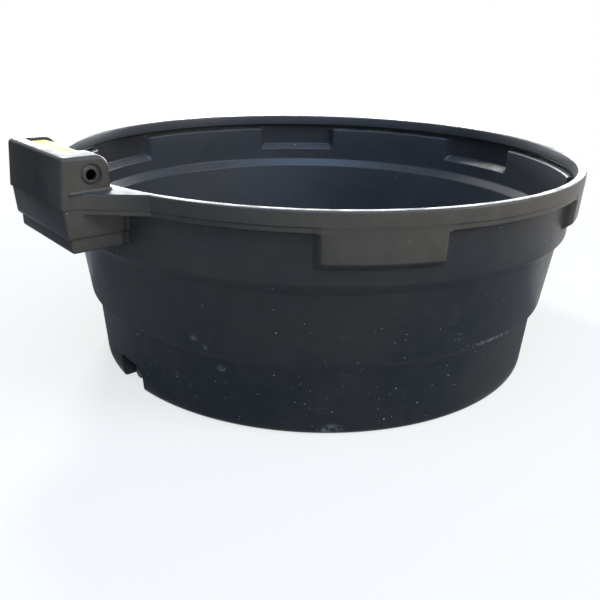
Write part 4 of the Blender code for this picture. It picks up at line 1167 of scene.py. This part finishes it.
def group(name, inputs, output, kind="NodeSocketFloat"):
    """Make a node group of a function that takes the tree and the inputs and gives back the output."""
    def build(function):
        tree = bpy.data.node_groups.new(name, "ShaderNodeTree")
        for label, start in inputs.items():
            socket_kind = "NodeSocketVector" if isinstance(start, tuple) else "NodeSocketFloat"
            socket = tree.interface.new_socket(name=label, in_out="INPUT", socket_type=socket_kind)
            socket.default_value = start
        tree.interface.new_socket(name=output, in_out="OUTPUT", socket_type=kind)
        entry = tree.nodes.new("NodeGroupInput").outputs
        made = function(tree, *[Value(tree, entry[label]) for label in inputs])
        tree.links.new(made.socket, tree.nodes.new("NodeGroupOutput").inputs[0])
        return tree
    return build


def use(tree, made, **inputs):
    """Place a group in a material with its own values; an underscore stands for a space."""
    return put(tree, "Group", {key.replace("_", " "): value for key, value in inputs.items()}, node_tree=made)


# Effects that several finishes share
@group("moulded_skin", {"Peel Scale": 420.0, "Peel Depth": 0.00002, "Wave Scale": 9.0, "Wave Depth": 0.0012},
       "Normal", "NodeSocketVector")
def moulded_skin(tree, peel_scale, peel_depth, wave_scale, wave_depth):
    """The orange peel and slow waves of a moulded surface, both with depths in metres."""
    place = object_place(tree)
    peel = place.noise(peel_scale, detail=3.0, roughness=0.6) * peel_depth
    return bumped(peel + place.noise(wave_scale, detail=1.5, roughness=0.4) * wave_depth)


@group("patches", {"Scale": 4.0, "Sharpness": 0.2}, "Value")
def patches(tree, scale, sharpness):
    """Soft cloudy variation between nought and one."""
    cloud = object_place(tree).noise(scale, detail=4.0, roughness=0.55)
    return cloud.spread(0.5 - sharpness, 0.5 + sharpness)


@group("settled_dust", {"Scale": 14.0, "Level Start": 0.35}, "Mask")
def settled_dust(tree, scale, level_start):
    """Dust on what faces up, thin where it has been rubbed away."""
    rubbed = object_place(tree).noise(scale, detail=5.0, roughness=0.65).spread(0.36, 0.66)
    return facing(tree).part("Z").spread(level_start, 1.0) * rubbed


@group("specks", {"Cells": 40.0, "Dot Size": 0.08, "Share": 0.5}, "Mask")
def specks(tree, cells, dot_size, share):
    """Small dried splashes: one dot in some of the cells, each of its own size."""
    away = put(tree, "TexVoronoi", {"Vector": object_place(tree), "Scale": cells}, "Distance")
    chance = put(tree, "SeparateColor", {0: away.also("Color")}, "Red")
    size = dot_size * chance.also("Green").spread(0.0, 1.0, 0.35, 1.0)
    dot = away.spread(size * 0.55, size, 1.0, 0.0)
    return dot * maths("LESS_THAN", chance, share)


@group("scratches", {"Scale": 6.0, "Fineness": 60.0, "Share": 0.2}, "Mask")
def scratches(tree, scale, fineness, share):
    """Fine scratches in two directions, in patches."""
    place = object_place(tree)
    limit = 0.78 - share
    full = limit + 0.04
    stretch = put(tree, "CombineXYZ", {0: scale, 1: scale, 2: scale * fineness})
    lines = [place.stretched(stretch, turn).noise(1.0, detail=1.0).spread(limit, full)
             for turn in ((0.5, 0.2, 0.3), (-0.35, 0.6, 1.1))]
    return maths("MAXIMUM", *lines) * place.noise(scale, detail=2.0).spread(0.48, 0.62)


@group("streaks", {"Scale": 55.0, "Length": 14.0}, "Mask")
def streaks(tree, scale, length):
    """Marks that water leaves as it runs down an upright face."""
    stretch = put(tree, "CombineXYZ", {0: scale, 1: scale, 2: scale / length})
    lines = object_place(tree).stretched(stretch).noise(1.0, detail=3.0, roughness=0.6).spread(0.50, 0.74)
    return lines * maths("ABSOLUTE", facing(tree).part("Z")).spread(0.25, 0.6, 1.0, 0.0)


@group("rub", {"Place": (0.0, 0.0, 0.0), "Size": (0.03, 0.03, 0.03), "Grain": 120.0}, "Mask")
def rub(tree, middle, size, grain):
    """One rubbed mark round a place, with a half size for each axis, broken up by noise."""
    place = object_place(tree)
    reach = place.vector("SUBTRACT", middle).vector("DIVIDE", size).vector("LENGTH", output="Value")
    return reach.spread(0.2, 1.0, 1.0, 0.0) * place.noise(grain, detail=4.0, roughness=0.7).spread(0.40, 0.62)


@group("turned_lines", {"Axis Point": (0.0, 0.0, 0.0), "Rings": 1400.0, "Depth": 0.000006},
       "Normal", "NodeSocketVector")
def turned_lines(tree, axis_point, rings, depth):
    """The fine rings that a lathe leaves round an axis, as a normal."""
    place = object_place(tree).vector("SUBTRACT", axis_point)
    line = put(tree, "TexNoise", {"W": place.part("Y") * rings, "Detail": 2.0}, "Fac", noise_dimensions="1D")
    return bumped((line + place.noise(700.0, detail=2.0)) * depth)


# Colours, gloss and strengths of the finishes
BLACK_COOL = (0.0150, 0.0170, 0.0225)
BLACK_WARM = (0.0270, 0.0255, 0.0235)
BLACK_FADED = (0.034, 0.036, 0.040)
# Painted light: a lighter, warmer black for the rim's outer faces that turn towards the front lamps.
BLACK_PAINTED_LIGHT = (0.066, 0.058, 0.048)
# Lime film with painted sky light: a lighter, bluer black inside the tub, and its share.
LIME_AND_SKYLIGHT_FILM = (0.044, 0.048, 0.058)
LIME_AND_SKYLIGHT_SHARE = 0.7
BLACK_SPECULAR = 0.22
BLACK_ROUGHNESS = (0.33, 0.39)
# Painted light: its least share in the patches, and its share on faces turned away from the front.
PAINTED_LIGHT_LEAST_SHARE = 0.8
PAINTED_LIGHT_AWAY_SHARE = 0.15
DUST = (0.16, 0.155, 0.145)
SPLASH = (0.50, 0.50, 0.49)
SCUFF = (0.17, 0.18, 0.20)
DUST_SHARE = 0.22
STREAK_SHARE = 0.18
SPECK_HIGH_SHARE = 0.07
RUB_SHARE = 0.75
MOTTLE_SHARE = 0.25
SCRATCH_SHARE = 0.12
LID_YELLOW = (0.96, 0.70, 0.22)
LID_FADED = (0.98, 0.80, 0.36)
LID_ORANGE = (0.82, 0.33, 0.06)
LID_SPECULAR = 0.015
LID_ROUGHNESS = (0.44, 0.54)
LID_DUST_SHARE = 0.12
LID_SCRATCH_SHARE = 0.35


# Rubbed marks: a place on the tub's outside, a half size along each axis and the grain's fineness
def wall_place(azimuth, height, radius):
    """A point on the tub's outside."""
    turn = math.radians(azimuth)
    return (radius * math.cos(turn), radius * math.sin(turn), height)


RUBS = [
    (wall_place(204.0, 0.285, TIER_2_RADIUS - 0.010), (0.022, 0.022, 0.016), 150.0),
    (wall_place(206.5, 0.262, TIER_2_FOOT_RADIUS), (0.010, 0.010, 0.012), 150.0),
    (wall_place(209.0, 0.190, TIER_3_RADIUS), (0.022, 0.022, 0.013), 150.0),
    (wall_place(232.0, 0.020, BASE_RADIUS), (0.050, 0.050, 0.024), 60.0),
    (wall_place(268.0, 0.250, TIER_2_FOOT_RADIUS), (0.130, 0.130, 0.010), 90.0),
    (wall_place(300.0, 0.640, RIM_RADIUS), (0.016, 0.016, 0.010), 200.0),
]


# Materials
def new_material(name):
    made = bpy.data.materials.new(name)
    made.use_nodes = True
    return made, made.node_tree


def dress(made, colour, roughness, normal, metallic=0.0, specular=0.5):
    """Join what a finish has worked out to its shader."""
    shader = made.node_tree.nodes["Principled BSDF"]
    fill_in(made.node_tree, shader, {"Base Color": colour, "Roughness": roughness, "Normal": normal,
                                     "Metallic": metallic, "Specular IOR Level": specular})
    return made


def black_polyethylene():
    """Cloudy black, with painted light outside under the rim where it faces -Y, lime film and painted sky
    light inside, and splashed, rubbed and dusty.
    """
    made, tree = new_material("black_polyethylene")
    place = object_place(tree)
    plan = put(tree, "CombineXYZ", {0: place.part("X"), 1: place.part("Y"), 2: 0.0})
    radius = plan.vector("LENGTH", output="Value")
    clouds = use(tree, patches, Scale=2.2, Sharpness=0.16)
    mottle = use(tree, patches, Scale=24.0, Sharpness=0.22)
    colour = mixed(clouds, BLACK_COOL, BLACK_WARM)
    colour = mixed(mottle * MOTTLE_SHARE, colour, BLACK_FADED)
    # Painted light: the skirt and pad faces under the rim get the lighter, warmer black where they face -Y
    # towards the front lamps, less where they turn away, and none where they face inwards.
    proud = radius.spread(RIM_RADIUS - 5 * SKIRT_SETBACK, RIM_RADIUS - 2 * SKIRT_SETBACK)
    painted_light_side = facing(tree).part("Y").spread(-0.85, -0.45, 1.0, PAINTED_LIGHT_AWAY_SHARE)
    inward = facing(tree).vector("DOT_PRODUCT", plan, "Value").spread(-0.6, -0.2, 1.0, 0.0)
    painted_light = proud * mottle.spread(0.0, 1.0, PAINTED_LIGHT_LEAST_SHARE, 1.0) * painted_light_side * (1.0 - inward)
    colour = mixed(painted_light, colour, BLACK_PAINTED_LIGHT)
    # Lime film and painted sky light: the inward faces inside the rim are lighter and bluer.
    inside = inward * radius.spread(LIP_RADIUS, RIM_RADIUS, 1.0, 0.0)
    colour = mixed(inside * clouds.spread(0.0, 1.0, LIME_AND_SKYLIGHT_SHARE, 1.0), colour, LIME_AND_SKYLIGHT_FILM)
    colour = mixed(use(tree, streaks, Scale=60.0, Length=16.0) * STREAK_SHARE, colour, BLACK_FADED)
    dust = use(tree, settled_dust, Scale=16.0, Level_Start=0.4)
    colour = mixed(dust * DUST_SHARE, colour, DUST)
    splash = place.part("Z").spread(STEP_2_HEIGHT / 3, STEP_1_HEIGHT, 1.0, SPECK_HIGH_SHARE)
    share = splash * place.noise(3.2, detail=1.0).spread(0.42, 0.58, 0.35, 1.0)
    fine = use(tree, specks, Cells=72.0, Dot_Size=0.125, Share=share)
    large = use(tree, specks, Cells=30.0, Dot_Size=0.085, Share=share * 0.7)
    colour = mixed(maths("MAXIMUM", fine, large), colour, SPLASH)
    rubbed, *others = [use(tree, rub, Place=spot, Size=size, Grain=grain) for spot, size, grain in RUBS]
    for other in others:
        rubbed = maths("MAXIMUM", rubbed, other)
    scratched = use(tree, scratches, Scale=5.0, Fineness=40.0, Share=0.07) * SCRATCH_SHARE
    worn = maths("MAXIMUM", rubbed * RUB_SHARE, scratched)
    colour = mixed(worn, colour, SCUFF)
    rough = clouds.spread(0.0, 1.0, *BLACK_ROUGHNESS) + dust * 0.16 + mottle * 0.05 + worn * 0.2
    skin = use(tree, moulded_skin, Peel_Scale=420.0, Peel_Depth=0.000035, Wave_Scale=7.0, Wave_Depth=0.0016)
    return dress(made, colour, rough, skin, specular=BLACK_SPECULAR)


def amber_plastic():
    """Faded yellow, with painted shade as deeper orange in the finger groove, and deeper orange where it is
    scratched.
    """
    made, tree = new_material("amber_lid_plastic")
    along = object_place(tree).part("X")
    start = LID_OUTER + LID_CLEARANCE + LID_GROOVE_WIDTH / 2
    end = start + LID_GROOVE_WIDTH
    # Painted shade: the floor of the finger groove is coloured deeper orange.
    after = along.spread(start, start + LID_GROOVE_DEPTH)
    groove = after * along.spread(end - LID_GROOVE_DEPTH, end, 1.0, 0.0)
    faded = use(tree, patches, Scale=30.0, Sharpness=0.25)
    colour = mixed(groove, mixed(faded, LID_YELLOW, LID_FADED), LID_ORANGE)
    dust = use(tree, settled_dust, Scale=60.0, Level_Start=0.5)
    colour = mixed(dust * LID_DUST_SHARE, colour, LID_FADED)
    scratched = use(tree, scratches, Scale=30.0, Fineness=25.0, Share=0.12) * LID_SCRATCH_SHARE
    colour = mixed(scratched, colour, LID_ORANGE)
    rough = faded.spread(0.0, 1.0, *LID_ROUGHNESS) + scratched * 0.3
    skin = use(tree, moulded_skin, Peel_Scale=900.0, Peel_Depth=0.00001, Wave_Scale=40.0, Wave_Depth=0.0002)
    return dress(made, colour, rough, skin, specular=LID_SPECULAR)


def metal(name, bright, dull, roughness, rings, depth):
    """A turned metal that has dulled in patches."""
    made, tree = new_material(name)
    worn = maths("MAXIMUM", use(tree, patches, Scale=120.0, Sharpness=0.18),
                 use(tree, specks, Cells=420.0, Dot_Size=0.22, Share=0.35))
    lines = use(tree, turned_lines, Axis_Point=(INLET_X, 0.0, INLET_Z), Rings=rings, Depth=depth)
    return dress(made, mixed(worn, bright, dull), worn.spread(0.0, 1.0, *roughness), lines, metallic=1.0)


def soft_plastic(name, plain, marked, roughness, peel):
    """A moulded rubber or plastic with bloom and fine grain."""
    made, tree = new_material(name)
    bloom = use(tree, patches, Scale=90.0, Sharpness=0.2)
    marks = maths("MAXIMUM", bloom, use(tree, specks, Cells=300.0, Dot_Size=0.16, Share=0.3))
    skin = use(tree, moulded_skin, Peel_Scale=1100.0, Peel_Depth=peel, Wave_Scale=60.0, Wave_Depth=0.0001)
    return dress(made, mixed(marks, plain, marked), bloom.spread(0.0, 1.0, *roughness), skin)


FINISHES = {
    "black_polyethylene": black_polyethylene(),
    "amber_plastic": amber_plastic(),
    "brass": metal("valve_brass", bright=(0.66, 0.47, 0.20), dull=(0.36, 0.24, 0.10),
                   roughness=(0.26, 0.48), rings=1400.0, depth=0.000008),
    "stainless_steel": metal("stainless_steel", bright=(0.62, 0.62, 0.61), dull=(0.42, 0.42, 0.41),
                             roughness=(0.24, 0.38), rings=2200.0, depth=0.000005),
    "seal_rubber": soft_plastic("seal_rubber", plain=(0.018, 0.018, 0.019), marked=(0.045, 0.045, 0.044),
                                roughness=(0.62, 0.78), peel=0.000012),
    "grey_nylon": soft_plastic("grey_nylon", plain=(0.23, 0.24, 0.25), marked=(0.33, 0.335, 0.33),
                               roughness=(0.40, 0.52), peel=0.000010),
    "float_plastic": soft_plastic("float_plastic", plain=(0.58, 0.11, 0.03), marked=(0.72, 0.22, 0.09),
                                  roughness=(0.34, 0.48), peel=0.000010),
}
NODE_SLOTS = {subpart["node"]: subpart["material_slot"] for subpart in frame["record"]["subparts"]}
for node, slot in NODE_SLOTS.items():
    slots = frame["nodes"][node].data.materials
    slots.clear()
    slots.append(FINISHES[slot])


def finished(piece, body, *nodes):
    """Give a finished piece its body, its finish and the nodes that it stands for."""
    slot = NODE_SLOTS[nodes[0]]
    piece.data.materials.clear()
    piece.data.materials.append(FINISHES[slot])
    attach(piece, body)
    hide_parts(*nodes)


# Pieces, each on its body and in place of its node
finished(shell(), "tub", "trough_shell")
finished(lid(), "lid", "service_lid")
finished(valve_body(), "tub", "valve_body")
finished(valve_cap(), "tub", "valve_end_cap")
back_nut = nut("back_nut", BACK_NUT_FLATS, TAIL_RADIUS + GAP, back_nut_low.y, back_nut_high.y, VALVE)
finished(back_nut, "tub", "valve_back_nut")
for washer in ("valve_inner_washer", "valve_outer_washer"):
    finished(turned_ring(washer + "_seal", washer, (0, 1, 0), TAIL_RADIUS + GAP, WASHER_EDGE), "tub", washer)
finished(turned_rod("hinge_rod", "lid_hinge_pin", (0, 1, 0), TURNED_EDGE), "tub", "lid_hinge_pin")
for clip in ("hinge_clip_near", "hinge_clip_far"):
    finished(turned_ring(clip + "_ring", clip, (0, 1, 0), HINGE_PIN_RADIUS + GAP, WASHER_EDGE), "tub", clip)
lever_clip = turned_ring("lever_clip_ring", "lever_pin_clip", (1, 0, 0), LEVER_PIN_RADIUS + GAP, WASHER_EDGE)
finished(lever_clip, "tub", "lever_pin_clip")
finished(turned_rod("piston_face", "piston_washer", (0, 1, 0), WASHER_EDGE), "piston", "piston_washer")
finished(float_lever(), "float_arm", "float_lever")
finished(float_rod(), "float_arm", "float_rod")
finished(float_ball(), "float_arm", "float_ball")
for made, node in zip(rod_nuts(), ("rod_lock_nut", "float_lock_nut")):
    finished(made, "float_arm", node)
finished(drain_bush(), "tub", "drain_bush")
gasket = turned_ring("drain_seal", "drain_gasket", (-1, 0, 0), BUSH_RADIUS + GAP, WASHER_EDGE)
finished(gasket, "tub", "drain_gasket")
drain_nut_place = DRAIN @ Matrix.Rotation(DRAIN_NUT_TURN, 4, "Z")
drain_nut = nut("drain_nut", DRAIN_NUT_FLATS, BUSH_RADIUS + GAP, *drain_nut_span(), drain_nut_place)
finished(drain_nut, "tub", "drain_back_nut")
finished(drain_plug(), "plug", "drain_plug")
bung_seal = turned_ring("bung_seal", "drain_plug_ring", (-1, 0, 0), BUSH_BORE - RING_DEPTH, WASHER_EDGE)
finished(bung_seal, "plug", "drain_plug_ring")


# Camera, at the place and angle of the photograph
CAMERA_PLACE = Vector((-1.634, -1.796, 1.0981))
CAMERA_HEADING = math.radians(49.0)
CAMERA_PITCH = 0.391
CAMERA_ROLL = 0.0231
CAMERA_LENS = 40.03
CAMERA_SENSOR = 36


def camera():
    data = bpy.data.cameras.new("photo_camera")
    data.lens = CAMERA_LENS
    data.sensor_width = CAMERA_SENSOR
    eye = bpy.data.objects.new("photo_camera", data)
    bpy.context.scene.collection.objects.link(eye)
    ahead = Vector((math.cos(CAMERA_HEADING) * math.cos(CAMERA_PITCH),
                    math.sin(CAMERA_HEADING) * math.cos(CAMERA_PITCH), -math.sin(CAMERA_PITCH)))
    level = Vector((math.sin(CAMERA_HEADING), -math.cos(CAMERA_HEADING), 0))
    above = level.cross(ahead)
    right = level * math.cos(CAMERA_ROLL) + above * math.sin(CAMERA_ROLL)
    up = above * math.cos(CAMERA_ROLL) - level * math.sin(CAMERA_ROLL)
    turn = Matrix((right, up, -ahead)).transposed().to_4x4()
    eye.matrix_world = Matrix.Translation(CAMERA_PLACE) @ turn
    bpy.context.scene.camera = eye


# Studio
FILL = 0.40
SKY_TINT = (0.78, 0.89, 1.0)
CARD_BLACK = (0.014, 0.016, 0.020)
CARD_GREY = (0.30, 0.32, 0.36)
CARD_SHADE = 0.8
PAPER_DARK = (0.86, 0.86, 0.86)
PAPER_LIGHT = (0.90, 0.90, 0.90)
WHITE = (1.0, 1.0, 1.0, 1.0)
FLOOR_REACH = 40
FLOOR_DROP = 0.001
FLOOR_WHITE = 0.70
FLOOR_FADE = (1.3, 3.2)
CARD_SIDES = 96


def lamp(name, azimuth, elevation, distance, size, radiance, colour, shine_only=False):
    """A softbox that faces the middle of the trough; its radiance is what a mirror would show."""
    data = bpy.data.lights.new(name, "AREA")
    data.shape = "RECTANGLE"
    data.size, data.size_y = size
    data.energy = radiance * size[0] * size[1] * math.pi
    data.color = colour
    light = bpy.data.objects.new(name, data)
    light.visible_diffuse = not shine_only
    bpy.context.scene.collection.objects.link(light)
    azimuth = math.radians(azimuth)
    elevation = math.radians(elevation)
    way = Vector((math.cos(azimuth) * math.cos(elevation), math.sin(azimuth) * math.cos(elevation),
                  math.sin(elevation)))
    middle = Vector((0, 0, RIM_HEIGHT / 2))
    light.matrix_world = aimed(middle + way * distance, way)


def seen_share(tree):
    """One for camera, glossy and transmission rays, which see the plain white backdrop."""
    camera_ray = put(tree, "LightPath", output="Is Camera Ray")
    seen = maths("MAXIMUM", camera_ray, camera_ray.also("Is Glossy Ray"))
    return maths("MAXIMUM", seen, camera_ray.also("Is Transmission Ray"))


def backdrop_world():
    world = bpy.data.worlds.new("studio_world")
    bpy.context.scene.world = world
    world.use_nodes = True
    tree = world.node_tree
    fill = tree.nodes["Background"]
    fill_in(tree, fill, {"Color": (*SKY_TINT, 1.0), "Strength": FILL})
    white = put(tree, "Background", {"Color": WHITE, "Strength": 1.0})
    both = put(tree, "MixShader", {0: seen_share(tree), 1: Value(tree, fill.outputs[0]), 2: white})
    fill_in(tree, tree.nodes["World Output"], {"Surface": both})


def bare_material(name):
    """A material with nothing but its output."""
    made, tree = new_material(name)
    tree.nodes.remove(tree.nodes["Principled BSDF"])
    return made, tree


def floor_paper():
    """Pale paper that keeps a soft shadow near the trough and runs out to white."""
    made, tree = bare_material("floor_paper")
    place = object_place(tree)
    paper = put(tree, "BsdfDiffuse", {"Color": mixed(place.noise(300.0), PAPER_DARK, PAPER_LIGHT)})
    white = put(tree, "Emission", {"Color": WHITE, "Strength": 1.0})
    away = place.vector("LENGTH", output="Value")
    share = away.spread(*FLOOR_FADE, FLOOR_WHITE, 1.0) * seen_share(tree)
    both = put(tree, "MixShader", {0: share, 1: paper, 2: white})
    fill_in(tree, tree.nodes["Material Output"], {"Surface": both})
    return made


def flag(card, colour):
    """Make a mesh a card that only reflections see, so that it darkens the gloss and nothing else."""
    card.data.materials.append(card_cloth(card.name, colour))
    card.visible_camera = card.visible_diffuse = card.visible_shadow = False


def upright_flag(name, corner, way, height, colour):
    corner = Vector(corner)
    way = Vector(way)
    up = Vector((0, 0, height))
    card = drawn(name, [corner, corner + way, corner + way + up, corner + up], True)
    bpy.ops.object.mode_set(mode="OBJECT")
    flag(card, colour)


def floor_flag(name, inner, outer, start, end, colour):
    """A flat part of a ring on the floor, between two azimuths."""
    place = Matrix.Rotation(math.radians(start), 4, "Z")
    card = spun(name, [(outer, 2 * FLUSH), (inner, 2 * FLUSH)], [(end - start, CARD_SIDES)], place)
    flag(card, colour)


def card_cloth(name, colour):
    made, tree = bare_material(name)
    dark = tuple(CARD_SHADE * value for value in colour)
    cloth = put(tree, "BsdfDiffuse", {"Color": mixed(object_place(tree).noise(400.0), dark, colour)})
    fill_in(tree, tree.nodes["Material Output"], {"Surface": cloth})
    return made


def studio():
    bpy.ops.object.select_all(action="DESELECT")
    bpy.ops.mesh.primitive_circle_add(vertices=CARD_SIDES, radius=FLOOR_REACH, fill_type="NGON",
                                      location=(0, 0, -FLOOR_DROP))
    floor = bpy.context.object
    floor.name = "studio_floor"
    bpy.ops.object.transform_apply(location=True, rotation=True, scale=True)
    floor.data.materials.append(floor_paper())
    backdrop_world()
    upright_flag("left_flag", corner=(-2.9, 2.3, 0.0), way=(1.7, 0.0, 0.0), height=1.7, colour=CARD_BLACK)
    floor_flag("ground_flag", inner=BASE_RADIUS + SKIN, outer=2.3, start=124, end=322, colour=CARD_GREY)
    floor_flag("box_flag", inner=2.3, outer=3.6, start=120, end=170, colour=CARD_BLACK)
    lamp("rear_softbox", azimuth=44, elevation=20, distance=4.7, size=(7.4, 2.0), radiance=15.0,
         colour=(0.95, 0.98, 1.0), shine_only=True)
    lamp("sky_card", azimuth=235, elevation=56, distance=4.8, size=(3.6, 3.6), radiance=4.5,
         colour=(0.16, 0.46, 1.0), shine_only=True)
    lamp("sun_softbox", azimuth=79, elevation=48, distance=6.0, size=(1.0, 1.0), radiance=60.0,
         colour=(1.0, 0.97, 0.92))
    lamp("sky_softbox", azimuth=235, elevation=58, distance=5.0, size=(4.0, 4.0), radiance=3.2,
         colour=(0.56, 0.76, 1.0))
    lamp("front_softbox", azimuth=296, elevation=28, distance=6.0, size=(2.6, 1.8), radiance=12.0,
         colour=(1.0, 0.92, 0.82))


camera()
studio()
bpy.context.scene.view_settings.view_transform = "Standard"
